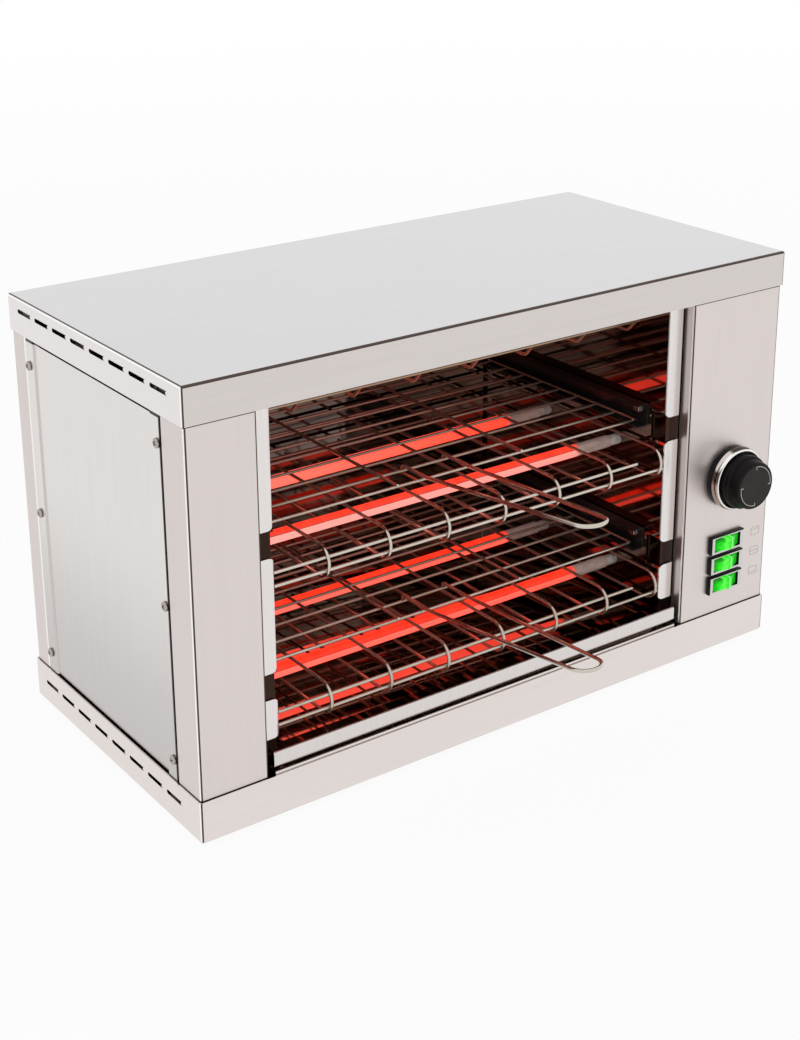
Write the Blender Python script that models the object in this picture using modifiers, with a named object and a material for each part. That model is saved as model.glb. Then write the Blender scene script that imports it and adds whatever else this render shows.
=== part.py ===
"""Two-level commercial toaster: a stainless casing round a polished toasting cavity with six quartz tubes.

Three pairs of tubes lie across the cavity behind wire guards. A wire rack slides in over the lower and
the middle pair, and a crumb tray slides in under the lowest one. A timer knob and three illuminated
rocker switches, one for each pair of tubes, sit in the panel on the right.

Metres, +Z up. X runs to the right as seen from the front and -Y points to the front. The origin lies on
the table, under the middle of the whole length and depth, rack handles and cable gland included. The
shapes are first laid out about the middle of the casing and then set over that origin.
"""

import math

import bmesh
import bpy
from mathutils import Matrix, Vector

# Casing and sheet metal
HOUSING_WIDTH = 0.500
HOUSING_DEPTH = 0.240
HOUSING_HEIGHT = 0.305
SHEET = 0.001
SEAT_GAP = 0.0003
FOLD_RADIUS = 0.0015
FOLD_SEGMENTS = 2
LID_SKIRT = 0.0255
BASE_UPSTAND = 0.0295
OVERRUN = 0.002
MERGE_DISTANCE = 0.000002

# Vent slots in the ends of the lid and of the base
VENT_SLOTS = 8
VENT_SLOT_HEIGHT = 0.003
VENT_END_SEGMENTS = 3
LID_SLOT_LENGTH = 0.0225
LID_SLOT_PITCH = 0.0266
LID_SLOT_DROP = 0.009
BASE_SLOT_LENGTH = 0.0215
BASE_SLOT_PITCH = 0.0256
BASE_SLOT_HEIGHT = 0.017
BASE_SLOT_SHIFT = 0.0035

# Feet
FOOT_HEIGHT = 0.005
FOOT_RADIUS = 0.010
FOOT_TAPER = 0.0015
FOOT_SIDE_INSET = 0.032
FOOT_FRONT_INSET = 0.028
FOOT_STEPS = 14

# Front column, control panel, rear panel and the side covers that close the ends between them
COLUMN_WIDTH = 0.0497
CONTROL_PANEL_WIDTH = 0.087
FRONT_RETURN = 0.0097
CORNER_WRAP = 0.0277
REAR_WRAP = 0.0183
JOGGLE_RUN = 0.0015
JOGGLE_FLANGE = 0.0115
COVER_EDGE_GAP = 0.0003
COVER_MARGIN = 0.0115
COVER_RECESS = 0.001
COVER_TOP_GAP = 0.003
COVER_TOP_GAP_REAR_MARGIN = 0.020
REAR_SLOTS = 5
REAR_SLOT_WIDTH = 0.004
REAR_SLOT_LENGTH = 0.036
REAR_SLOT_PITCH = 0.010
REAR_SLOT_CENTRE_HEIGHT = 0.200

# Cover screws
SCREW_HEAD_RADIUS = 0.0033
SCREW_HEAD_HEIGHT = 0.0016
SCREW_HEAD_CROWN = 0.0004
SCREW_HEAD_EDGE = 0.0006
SCREW_SHANK_RADIUS = 0.0015
SCREW_LENGTH = 0.006
SCREW_EDGE_INSET = 0.0042
SCREW_STEPS = 8
SCREW_BOTTOM_INSET = 0.044
SCREW_TOP_INSET = 0.0455
SCREWS_IN_ROW = 3

# Toasting cavity
LEFT_FLANGE_GAP = 0.0003
LEFT_FLANGE_WIDTH = 0.0137
RIGHT_FLANGE_GAP = 0.0022
RIGHT_FLANGE_WIDTH = 0.0125
LINER_SETBACK = 0.010
CAVITY_REAR_SPACE = 0.0197
LINER_REAR_GAP = 0.003
NOTCH_DEPTH = 0.015
NOTCH_RADIUS = 0.0045
NOTCH_SEGMENTS = 4
NOTCH_HEIGHT = 0.0185
NOTCH_BELOW_RACK = 0.0105
FLANGE_FOOT_HEIGHT = 0.0505
CEILING_DROP = 0.017
INNER_FLOOR_HEIGHT = 0.033

# Quartz tubes with ceramic ends
LOWEST_TUBE_HEIGHT = 0.067
TOP_TUBE_DROP = 0.0225
TOP_TUBE_LIFT = 0.0025
TUBE_FRONT_INSET = 0.049
TUBE_REAR_INSET = 0.080
TUBE_RADIUS = 0.0046
TUBE_COLLAR_RADIUS = 0.004
TUBE_COLLAR_LENGTH = 0.010
TUBE_NECK_RADIUS = 0.0028
TUBE_NECK_LENGTH = 0.014
TUBE_STEPS = 10

# Wire guards round the tubes
GUARD_WIRE = 0.0024
GUARD_HAIRPINS = 7
GUARD_FIRST_HAIRPIN = 0.040
GUARD_LAST_HAIRPIN = 0.004
GUARD_DROP = 0.0045
GUARD_LOOP_RADIUS = 0.011
GUARD_LOOP_INSET = 0.010
GUARD_LOOP_SEGMENTS = 6
GUARD_REAR_CLEARANCE = 0.005
GUARD_REAR_BAR_SETBACK = 0.008
GUARD_BAR_RAKE = math.radians(30)
GUARD_TOP_RISE = 0.0245
GUARD_TOP_BAR_HEIGHT = 0.0075
GUARD_TOP_KNEE = 0.010
GUARD_TOP_SLOPE = math.radians(48)
GUARD_BAR_SHORT_END = 0.025
WIRE_OVERLAP = 0.0008
WIRE_RESOLUTION = 1

# Racks
RACK_ABOVE_TUBE = 0.022
RACK_WIRE = 0.0021
RACK_CROSS_WIRES = 9
RACK_FRONT_INSET = 0.0271
RACK_REAR_INSET = 0.0135
RACK_END_GAP = 0.004
RACK_RUNNERS = 4
RACK_RUNNER_OVERHANG = 0.0015
RACK_RUNNER_INSET = 0.0012

# Rails that carry the racks
RAIL_REACH = 0.0105
RAIL_HEIGHT = 0.017
RAIL_FRONT_INSET = 0.018
RAIL_REAR_CLEARANCE = 0.002

# Rack handles
HANDLE_WIRE = 0.0027
HANDLE_OFFSET = 0.014
HANDLE_LEG_SPREAD = 0.0175
HANDLE_TIP_RADIUS = 0.011
HANDLE_LENGTH = 0.16855
HANDLE_RISE = 0.0145
HANDLE_LEVEL_RUN = 0.004
HANDLE_HOOK_DROP = 0.0015
HANDLE_TIP_SEGMENTS = 8

# Crumb tray
TRAY_SHEET = 0.0008
TRAY_SIDE_CLEARANCE = 0.0025
TRAY_REAR_CLEARANCE = 0.003
TRAY_FRONT_SETBACK = 0.0114
TRAY_TOP_HEIGHT = 0.045
TRAY_LIP_INSET = 0.005
TRAY_LIP_SETBACK = 0.0024
TRAY_LIP_BOTTOM_HEIGHT = 0.0342
TRAY_LIP_HEM = 0.004

# Timer and its knob, measured out from the panel face along the knob's axis
KNOB_FROM_RIGHT_EDGE = 0.0417
KNOB_HEIGHT = 0.139
COLLAR_RADIUS = 0.0238
COLLAR_LENGTH = 0.0065
COLLAR_CHAMFER = 0.001
RING_RADIUS = 0.0245
RING_FRONT_RADIUS = 0.0218
RING_LENGTH = 0.007
RING_LAND = 0.002
RING_BORE_RADIUS = 0.0190
KNOB_SKIRT_RADIUS = 0.0205
KNOB_SKIRT_LENGTH = 0.0075
KNOB_CAP_RADIUS = 0.0185
KNOB_CAP_LENGTH = 0.0085
KNOB_EDGE = 0.0012
SHAFT_RADIUS = 0.003
SHAFT_BORE_CLEARANCE = 0.0004
SHAFT_IN_KNOB = 0.012
SHAFT_IN_TIMER = 0.012
SHAFT_PANEL_CLEARANCE = 0.0012
TIMER_WIDTH = 0.046
TIMER_DEPTH = 0.038
TIMER_EDGE = 0.003
ROUND_STEPS = 24
SHAFT_STEPS = 12

# Rocker switches
SWITCHES = 3
SWITCH_PITCH = 0.0165
TOP_SWITCH_HEIGHT = 0.0865
SWITCH_FROM_RIGHT_EDGE = 0.0431
BEZEL_WIDTH = 0.034
BEZEL_HEIGHT = 0.0142
BEZEL_PROUD = 0.003
BEZEL_EDGE = 0.0006
SWITCH_BODY_WIDTH = 0.030
SWITCH_BODY_HEIGHT = 0.0118
SWITCH_BODY_DEPTH = 0.020
ROCKER_WIDTH = 0.0252
ROCKER_HEIGHT = 0.0092
ROCKER_CLEARANCE = 0.0004
ROCKER_BACK = 0.003
ROCKER_SHOULDER = 0.0034
ROCKER_RIDGE = 0.0065
ROCKER_PIVOT_SETBACK = 0.003
ROCKER_POCKET_DEPTH = 0.006
ROCKER_TILT = math.radians(7)
ROCKER_END_SEGMENTS = 3

# Mains side, at the back of the right-hand compartment
GLAND_FROM_RIGHT_EDGE = 0.045
GLAND_HEIGHT = 0.045
GLAND_FLANGE_RADIUS = 0.011
GLAND_FLANGE_THICKNESS = 0.003
GLAND_NECK_RADIUS = 0.008
GLAND_BORE_RADIUS = 0.0045
GLAND_LENGTH = 0.012
GLAND_STEPS = 16
TERMINAL_WIDTH = 0.040
TERMINAL_DEPTH = 0.020
TERMINAL_HEIGHT = 0.018
TERMINAL_FROM_RIGHT_EDGE = 0.030
TERMINAL_FROM_REAR = 0.040
TERMINAL_WELLS = 3
TERMINAL_WELL_RADIUS = 0.0035
TERMINAL_WELL_DEPTH = 0.005
TERMINAL_STEPS = 10

# Places worked out from the sizes above
CASE_HALF_WIDTH = HOUSING_WIDTH / 2
CASE_HALF_DEPTH = HOUSING_DEPTH / 2
LID_TOP = FOOT_HEIGHT + HOUSING_HEIGHT
LID_EDGE = LID_TOP - LID_SKIRT
BASE_EDGE = FOOT_HEIGHT + BASE_UPSTAND
BODY_HALF_WIDTH = CASE_HALF_WIDTH - SHEET - SEAT_GAP
BODY_HALF_DEPTH = CASE_HALF_DEPTH - SHEET - SEAT_GAP
STANDING_BOTTOM = FOOT_HEIGHT + SHEET + SEAT_GAP
STANDING_TOP = LID_TOP - SHEET - SEAT_GAP
OPENING_LEFT = -BODY_HALF_WIDTH + COLUMN_WIDTH
OPENING_RIGHT = BODY_HALF_WIDTH - CONTROL_PANEL_WIDTH
CAVITY_LEFT = OPENING_LEFT + LEFT_FLANGE_GAP + LEFT_FLANGE_WIDTH
CAVITY_RIGHT = OPENING_RIGHT - RIGHT_FLANGE_GAP - RIGHT_FLANGE_WIDTH
CAVITY_MIDDLE = (CAVITY_LEFT + CAVITY_RIGHT) / 2
CAVITY_FRONT = -CASE_HALF_DEPTH + LINER_SETBACK
CAVITY_BACK = BODY_HALF_DEPTH - CAVITY_REAR_SPACE
CEILING = LID_TOP - CEILING_DROP
LINER_REAR = CAVITY_BACK - LINER_REAR_GAP
JOGGLE = SHEET + SEAT_GAP
COVER_FRONT = -BODY_HALF_DEPTH + CORNER_WRAP + JOGGLE_RUN + COVER_EDGE_GAP
COVER_REAR = BODY_HALF_DEPTH - REAR_WRAP - JOGGLE_RUN - COVER_EDGE_GAP
PANEL_FACE = -BODY_HALF_DEPTH
KNOB_X = BODY_HALF_WIDTH - KNOB_FROM_RIGHT_EDGE
KNOB_Z = FOOT_HEIGHT + KNOB_HEIGHT
SWITCH_X = BODY_HALF_WIDTH - SWITCH_FROM_RIGHT_EDGE
BEZEL_FACE = PANEL_FACE - SEAT_GAP - BEZEL_PROUD
ROCKER_PIVOT_Y = BEZEL_FACE + ROCKER_PIVOT_SETBACK
LEVEL_NAMES = ("bottom", "middle", "top")
RACK_LEVELS = {"lower": 0, "upper": 1}
LOWEST_TUBE = FOOT_HEIGHT + LOWEST_TUBE_HEIGHT
TOP_LEVEL = len(LEVEL_NAMES) - 1
LEVEL_PITCH = (CEILING - TOP_TUBE_DROP - TOP_TUBE_LIFT - LOWEST_TUBE) / TOP_LEVEL
TUBE_ROWS = {"front": CAVITY_FRONT + TUBE_FRONT_INSET, "rear": CAVITY_BACK - TUBE_REAR_INSET}
GUARD_LOOP_Y = CAVITY_FRONT + GUARD_LOOP_INSET
RACK_FRONT_WIRE_Y = CAVITY_FRONT + RACK_FRONT_INSET
RACK_REAR_WIRE_Y = CAVITY_BACK - RACK_REAR_INSET
RACK_PITCH = (RACK_REAR_WIRE_Y - RACK_FRONT_WIRE_Y) / (RACK_CROSS_WIRES - 1)
RAIL_FRONT_Y = CAVITY_FRONT + RAIL_FRONT_INSET
HANDLE_TIP_Y = RACK_FRONT_WIRE_Y + RACK_PITCH - HANDLE_LENGTH
FRONT_MOST_Y = HANDLE_TIP_Y - HANDLE_TIP_RADIUS - HANDLE_WIRE / 2
REAR_MOST_Y = BODY_HALF_DEPTH + SEAT_GAP + GLAND_FLANGE_THICKNESS

FINISHES = {
    "satin_steel": ((0.68, 0.66, 0.65, 1.0), 0.32, 1.0),
    "polished_steel": ((0.62, 0.60, 0.58, 1.0), 0.12, 1.0),
    "dark_steel": ((0.05, 0.045, 0.04, 1.0), 0.45, 0.8),
    "wire_steel": ((0.55, 0.50, 0.45, 1.0), 0.25, 1.0),
    "chrome": ((0.80, 0.80, 0.80, 1.0), 0.08, 1.0),
    "hot_quartz": ((0.95, 0.16, 0.05, 1.0), 0.15, 0.0),
    "black_plastic": ((0.012, 0.012, 0.012, 1.0), 0.35, 0.0),
    "green_lens": ((0.02, 0.80, 0.05, 1.0), 0.20, 0.0),
    "pale_plastic": ((0.75, 0.74, 0.72, 1.0), 0.50, 0.0),
    "rubber": ((0.02, 0.02, 0.02, 1.0), 0.80, 0.0),
}


def clear_scene():
    """Removes every object, and the collections and meshes that they leave."""
    for item in list(bpy.data.objects):
        bpy.data.objects.remove(item, do_unlink=True)
    for group in list(bpy.data.collections):
        bpy.data.collections.remove(group)
    for mesh in list(bpy.data.meshes):
        bpy.data.meshes.remove(mesh)


def make_collection(name, hidden):
    group = bpy.data.collections.new(name)
    group.hide_render = hidden
    bpy.context.scene.collection.children.link(group)
    return group


def make_finish(name):
    colour, roughness, metallic = FINISHES[name]
    finish = bpy.data.materials.new(name)
    finish.use_nodes = True
    shader = finish.node_tree.nodes["Principled BSDF"]
    shader.inputs["Base Color"].default_value = colour
    shader.inputs["Roughness"].default_value = roughness
    shader.inputs["Metallic"].default_value = metallic
    finish.diffuse_color = colour
    return finish


clear_scene()
PARTS = make_collection("commercial_toaster", hidden=False)
CUTTERS = make_collection("cutters", hidden=True)
MATERIALS = {name: make_finish(name) for name in FINISHES}


# Building blocks


def frame_of(axis):
    """The turn that lays a drawing's own X, Y and Z along the world, for a shape drawn out along an axis.

    Seen along X the drawing is (y, z), seen from the front it is (x, z), and seen from above it is (x, y).
    """
    columns = {
        "X": ((0, 1, 0), (0, 0, 1), (1, 0, 0)),
        "Y": ((1, 0, 0), (0, 0, 1), (0, -1, 0)),
        "Z": ((1, 0, 0), (0, 1, 0), (0, 0, 1)),
    }[axis]
    return Matrix(columns).transposed().to_4x4()


def link_mesh(name, mesh, matrix, group):
    item = bpy.data.objects.new(name, mesh)
    group.objects.link(item)
    item.matrix_world = matrix
    return item


def mesh_from(item, name):
    """A mesh object in place of a curve or of an object with modifiers, with its loose caps welded."""
    bpy.context.view_layer.update()
    evaluated = item.evaluated_get(bpy.context.evaluated_depsgraph_get())
    mesh = bpy.data.meshes.new_from_object(evaluated)
    matrix = item.matrix_world.copy()
    group = item.users_collection[0]
    bpy.data.objects.remove(item, do_unlink=True)
    shape = bmesh.new()
    shape.from_mesh(mesh)
    bmesh.ops.remove_doubles(shape, verts=shape.verts, dist=MERGE_DISTANCE)
    shape.to_mesh(mesh)
    shape.free()
    mesh.materials.clear()
    return link_mesh(name, mesh, matrix, group)


def outline_prism(name, points, axis, start, end, group=PARTS):
    """A flat outline drawn out along an axis, from start to end."""
    curve = bpy.data.curves.new(name, "CURVE")
    curve.dimensions = "2D"
    curve.fill_mode = "BOTH"
    curve.extrude = (end - start) / 2
    spline = curve.splines.new("POLY")
    spline.points.add(len(points) - 1)
    for point, (across, up) in zip(spline.points, points):
        point.co = (across, up, 0, 1)
    spline.use_cyclic_u = True
    drawing = bpy.data.objects.new(name + "_outline", curve)
    group.objects.link(drawing)
    turn = frame_of(axis)
    middle = (start + end) / 2
    along = {"X": (middle, 0, 0), "Y": (0, middle, 0), "Z": (0, 0, middle)}[axis]
    drawing.matrix_world = Matrix.Translation(along) @ turn
    return mesh_from(drawing, name)


def box(name, low, high, group=PARTS):
    """A box between two corners, with its origin at its middle."""
    low, high = Vector(low), Vector(high)
    bpy.ops.mesh.primitive_cube_add(size=1, location=(low + high) / 2)
    item = bpy.context.active_object
    item.name = name
    item.data.transform(Matrix.Diagonal(high - low).to_4x4())
    for old in list(item.users_collection):
        old.objects.unlink(item)
    group.objects.link(item)
    return item


def rounded_path(points, radius=FOLD_RADIUS, segments=FOLD_SEGMENTS):
    """The path with each fold between two long legs turned into an arc."""
    bent = [Vector(points[0])]
    for before, corner, after in zip(points, points[1:], points[2:]):
        before, corner, after = Vector(before), Vector(corner), Vector(after)
        back, ahead = before - corner, after - corner
        if min(back.length, ahead.length) < 2 * radius:
            bent.append(corner)
            continue
        back.normalize()
        ahead.normalize()
        half = back.angle(ahead) / 2
        centre = corner + (back + ahead).normalized() * (radius / math.sin(half))
        first = corner + back * (radius / math.tan(half)) - centre
        sweep = first.angle_signed(corner + ahead * (radius / math.tan(half)) - centre)
        for step in range(segments + 1):
            turn = -sweep * step / segments
            spoke = Matrix.Rotation(turn, 2) @ first
            bent.append(centre + spoke)
    bent.append(Vector(points[-1]))
    return bent


def folded_sheet(name, path, axis, start, end, thickness=SHEET, group=PARTS):
    """Sheet metal folded along a path and drawn out along an axis.

    The path runs along the outer face, with the metal on its left.
    """
    bent = rounded_path(path)
    shape = bmesh.new()
    corners = [shape.verts.new((across, up, 0)) for across, up in bent]
    folds = [shape.edges.new(pair) for pair in zip(corners, corners[1:])]
    drawn = bmesh.ops.extrude_edge_only(shape, edges=folds)["geom"]
    moved = [part for part in drawn if isinstance(part, bmesh.types.BMVert)]
    depth = -(end - start) if axis == "Y" else end - start
    bmesh.ops.translate(shape, vec=(0, 0, depth), verts=moved)
    shape.normal_update()
    shape.faces.ensure_lookup_table()
    right = Vector((bent[1].y - bent[0].y, bent[0].x - bent[1].x, 0))
    first = min(shape.faces, key=lambda face: min(vert.index for vert in face.verts))
    near = [face for face in shape.faces if corners[0] in face.verts]
    if (near or [first])[0].normal.dot(right) < 0:
        bmesh.ops.reverse_faces(shape, faces=shape.faces)
    mesh = bpy.data.meshes.new(name)
    shape.to_mesh(mesh)
    shape.free()
    along = {"X": (start, 0, 0), "Y": (0, start, 0), "Z": (0, 0, start)}[axis]
    item = link_mesh(name, mesh, Matrix.Translation(along) @ frame_of(axis), group)
    wall = item.modifiers.new("thickness", "SOLIDIFY")
    wall.thickness = thickness
    wall.offset = -1
    wall.use_even_offset = True
    return item


def open_shell(name, low, high, open_face, thickness, radius, group=PARTS):
    """A box of sheet between two corners, without the face that looks along open_face."""
    item = box(name, low, high, group)
    shape = bmesh.new()
    shape.from_mesh(item.data)
    shape.normal_update()
    looks_out = [face for face in shape.faces if face.normal.dot(Vector(open_face)) > 1 / 2]
    bmesh.ops.delete(shape, geom=looks_out, context="FACES_ONLY")
    folds = [edge for edge in shape.edges if len(edge.link_faces) == 2]
    if radius:
        bmesh.ops.bevel(
            shape, geom=folds, offset=radius, segments=FOLD_SEGMENTS, affect="EDGES", profile=1 / 2
        )
    shape.to_mesh(item.data)
    shape.free()
    wall = item.modifiers.new("thickness", "SOLIDIFY")
    wall.thickness = thickness
    wall.offset = -1
    wall.use_even_offset = True
    return item


def turned(name, profile, steps, matrix, group=PARTS, closed=False):
    """A profile of (radius, height) points, outer side downwards, turned about the object's own Z."""
    shape = bmesh.new()
    points = [shape.verts.new((radius, 0, height)) for radius, height in profile]
    pairs = list(zip(points, points[1:]))
    if closed:
        pairs.append((points[-1], points[0]))
    for pair in pairs:
        shape.edges.new(pair)
    mesh = bpy.data.meshes.new(name)
    shape.to_mesh(mesh)
    shape.free()
    item = link_mesh(name, mesh, matrix, group)
    spin = item.modifiers.new("turn", "SCREW")
    spin.steps = steps
    spin.render_steps = steps
    spin.use_merge_vertices = True
    spin.merge_threshold = MERGE_DISTANCE
    spin.use_smooth_shade = False
    return item


def facing(direction, place):
    """The matrix that puts an object's own Z along a direction, at a place."""
    turn = Vector((0, 0, 1)).rotation_difference(Vector(direction)).to_matrix().to_4x4()
    return Matrix.Translation(place) @ turn


def wire(name, points, diameter, group=PARTS):
    """A round wire along points, with closed ends."""
    curve = bpy.data.curves.new(name, "CURVE")
    curve.dimensions = "3D"
    curve.fill_mode = "FULL"
    curve.bevel_depth = diameter / 2
    curve.bevel_resolution = WIRE_RESOLUTION
    curve.use_fill_caps = True
    spline = curve.splines.new("POLY")
    spline.points.add(len(points) - 1)
    for point, place in zip(spline.points, points):
        point.co = (*place, 1)
    drawing = bpy.data.objects.new(name + "_path", curve)
    group.objects.link(drawing)
    return mesh_from(drawing, name)


def apply_modifiers(item):
    """Turns the object's modifiers into mesh."""
    name = item.name
    solid = mesh_from(item, name + "_solid")
    solid.name = name
    return solid


def boolean(target, tool, operation):
    change = target.modifiers.new(tool.name, "BOOLEAN")
    change.operation = operation
    change.object = tool
    change.solver = "EXACT"


def cut(target, tools):
    """Cuts each tool out of the target. The tools stay as hidden guides."""
    for tool in tools:
        tool.display_type = "WIRE"
        tool.hide_render = True
        boolean(target, tool, "DIFFERENCE")


def welded(name, pieces):
    """One solid made of pieces that overlap."""
    target = apply_modifiers(pieces[0])
    target.name = name
    for piece in pieces[1:]:
        tool = apply_modifiers(piece)
        boolean(target, tool, "UNION")
        target = apply_modifiers(target)
        bpy.data.objects.remove(tool, do_unlink=True)
    target.name = name
    return target


def grouped(name, tools):
    """One mesh that holds several separate cutters."""
    shape = bmesh.new()
    for tool in tools:
        solid = apply_modifiers(tool)
        mesh = solid.data
        mesh.transform(solid.matrix_world)
        shape.from_mesh(mesh)
        bpy.data.objects.remove(solid, do_unlink=True)
    mesh = bpy.data.meshes.new(name)
    shape.to_mesh(mesh)
    shape.free()
    return link_mesh(name, mesh, Matrix(), CUTTERS)


def move_origin(item, point):
    """Puts the object's origin at a point and leaves the shape where it is."""
    bpy.context.view_layer.update()
    world = item.matrix_world.copy()
    target = world.copy()
    target.translation = Vector(point)
    item.data.transform(target.inverted() @ world)
    item.matrix_world = target


def dress(item, finish, carrier, smooth=False):
    """Gives the object its finish, its shading and the empty that carries it."""
    item.data.materials.clear()
    item.data.materials.append(MATERIALS[finish])
    if smooth:
        item.data.shade_smooth()
        item.data.set_sharp_from_angle(angle=math.radians(40))
    bpy.context.view_layer.update()
    world = item.matrix_world.copy()
    item.parent = carrier
    item.matrix_parent_inverse = Matrix()
    item.matrix_local = carrier.matrix_world.inverted() @ world
    return item


def carrier(name, place, parent=None):
    """An empty that stands for a body, on the line or the axis that it moves by."""
    empty = bpy.data.objects.new(name, None)
    empty.empty_display_size = FOOT_SIDE_INSET
    PARTS.objects.link(empty)
    empty.parent = parent
    empty.location = place
    bpy.context.view_layer.update()
    return empty


def slot_outline(length, width, centre):
    """A slot with round ends, drawn along the first direction about a centre."""
    radius = width / 2
    straight = length / 2 - radius
    points = []
    for side in (1, -1):
        for step in range(VENT_END_SEGMENTS + 1):
            angle = side * (math.pi / 2) - math.pi * step / VENT_END_SEGMENTS * side
            across = side * straight + radius * math.cos(angle)
            up = radius * math.sin(angle) * side
            points.append((centre[0] + across, centre[1] + up * side))
    return points


def tube_height(level):
    """Height of a pair of tubes, the top pair raised towards the ceiling."""
    lift = TOP_TUBE_LIFT if level == TOP_LEVEL else 0
    return LOWEST_TUBE + LEVEL_PITCH * level + lift


def rack_height(level):
    """Height of the middle of a rack's cross wires."""
    return tube_height(level) + RACK_ABOVE_TUBE


# Casing


def vent_row(name, length, pitch, height, shift):
    """A row of slot cutters that pass through both ends of the casing."""
    first = shift - pitch * (VENT_SLOTS - 1) / 2
    reach = CASE_HALF_WIDTH + OVERRUN
    slots = [
        outline_prism(
            f"{name}_{index}",
            slot_outline(length, VENT_SLOT_HEIGHT, (first + pitch * index, height)),
            "X",
            -reach,
            reach,
            CUTTERS,
        )
        for index in range(VENT_SLOTS)
    ]
    return grouped(name, slots)


def build_lid(housing):
    """The lid: a flat top with a skirt folded down all round."""
    lid = open_shell(
        "lid_cover",
        (-CASE_HALF_WIDTH, -CASE_HALF_DEPTH, LID_EDGE),
        (CASE_HALF_WIDTH, CASE_HALF_DEPTH, LID_TOP),
        (0, 0, -1),
        SHEET,
        FOLD_RADIUS,
    )
    row = vent_row("lid_vents", LID_SLOT_LENGTH, LID_SLOT_PITCH, LID_TOP - LID_SLOT_DROP, 0)
    cut(lid, [row])
    dress(lid, "satin_steel", housing)


def build_base(housing):
    """The base pan: a flat bottom with its sides folded up, on four feet."""
    pan = open_shell(
        "base_pan",
        (-CASE_HALF_WIDTH, -CASE_HALF_DEPTH, FOOT_HEIGHT),
        (CASE_HALF_WIDTH, CASE_HALF_DEPTH, BASE_EDGE),
        (0, 0, 1),
        SHEET,
        FOLD_RADIUS,
    )
    height = FOOT_HEIGHT + BASE_SLOT_HEIGHT
    cut(pan, [vent_row("base_vents", BASE_SLOT_LENGTH, BASE_SLOT_PITCH, height, BASE_SLOT_SHIFT)])
    dress(pan, "satin_steel", housing)
    profile = [
        (0, FOOT_HEIGHT - SEAT_GAP),
        (FOOT_RADIUS, FOOT_HEIGHT - SEAT_GAP),
        (FOOT_RADIUS - FOOT_TAPER, 0),
        (0, 0),
    ]
    for row, front in (("front", -1), ("rear", 1)):
        for end, side in (("left", -1), ("right", 1)):
            place = (
                side * (CASE_HALF_WIDTH - FOOT_SIDE_INSET),
                front * (CASE_HALF_DEPTH - FOOT_FRONT_INSET),
                0,
            )
            foot = turned(f"foot_{row}_{end}", profile, FOOT_STEPS, Matrix.Translation(place))
            dress(foot, "rubber", housing, smooth=True)


def corner_path(side, inner_edge):
    """Section of a front corner piece: a return at the opening, the face, the wrap and a stepped flange."""
    edge = side * BODY_HALF_WIDTH
    flange = side * (BODY_HALF_WIDTH - JOGGLE)
    wrap_end = PANEL_FACE + CORNER_WRAP
    path = [
        (inner_edge, PANEL_FACE + FRONT_RETURN),
        (inner_edge, PANEL_FACE),
        (edge, PANEL_FACE),
        (edge, wrap_end),
        (flange, wrap_end + JOGGLE_RUN),
        (flange, wrap_end + JOGGLE_RUN + JOGGLE_FLANGE),
    ]
    return path if side > 0 else path[::-1]


def screw_bores(side):
    """Clearance holes for the six screws of one side cover, through the cover and the flange behind it."""
    radius = SCREW_SHANK_RADIUS + SEAT_GAP
    reach = SCREW_LENGTH + OVERRUN
    bores = [
        turned(
            f"bore_{index}",
            [(0, reach), (radius, reach), (radius, -reach), (0, -reach)],
            SCREW_STEPS,
            facing((side, 0, 0), place),
            CUTTERS,
        )
        for index, place in enumerate(screw_places(side))
    ]
    return grouped("screw_bores_" + ("right" if side > 0 else "left"), bores)


def screw_places(side):
    """Points on the outer face of a side cover where its screws sit."""
    rows = (COVER_FRONT + SCREW_EDGE_INSET, COVER_REAR - SCREW_EDGE_INSET)
    bottom = FOOT_HEIGHT + SCREW_BOTTOM_INSET
    pitch = (LID_TOP - SCREW_TOP_INSET - bottom) / (SCREWS_IN_ROW - 1)
    heights = [bottom + pitch * index for index in range(SCREWS_IN_ROW)]
    return [(side * BODY_HALF_WIDTH, row, height) for row in rows for height in heights]


def build_front_column(housing, bores):
    """The column at the left of the opening, wrapped round the corner."""
    path = corner_path(-1, OPENING_LEFT)
    column = folded_sheet("front_left_column", path, "Z", STANDING_BOTTOM, STANDING_TOP)
    cut(column, [bores["left"]])
    dress(column, "satin_steel", housing)


def switch_height(index):
    """Height of the middle of a switch, counted from the top one down."""
    return FOOT_HEIGHT + TOP_SWITCH_HEIGHT - SWITCH_PITCH * index


def build_control_panel(housing, bores):
    """The panel at the right of the opening, with the shaft hole and three switch cut-outs."""
    path = corner_path(1, OPENING_RIGHT)
    panel = folded_sheet("control_panel", path, "Z", STANDING_BOTTOM, STANDING_TOP)
    reach = SHEET + OVERRUN
    radius = SHAFT_RADIUS + SHAFT_PANEL_CLEARANCE
    hole = turned(
        "shaft_hole",
        [(0, reach), (radius, reach), (radius, -reach), (0, -reach)],
        SHAFT_STEPS,
        facing((0, -1, 0), (KNOB_X, PANEL_FACE, KNOB_Z)),
        CUTTERS,
    )
    half_width = SWITCH_BODY_WIDTH / 2 + SEAT_GAP
    half_height = SWITCH_BODY_HEIGHT / 2 + SEAT_GAP
    windows = [
        box(
            f"switch_window_{index}",
            (SWITCH_X - half_width, PANEL_FACE - reach, switch_height(index) - half_height),
            (SWITCH_X + half_width, PANEL_FACE + reach, switch_height(index) + half_height),
            CUTTERS,
        )
        for index in range(SWITCHES)
    ]
    cut(panel, [bores["right"], grouped("panel_cutouts", [hole, *windows])])
    dress(panel, "satin_steel", housing)


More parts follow.
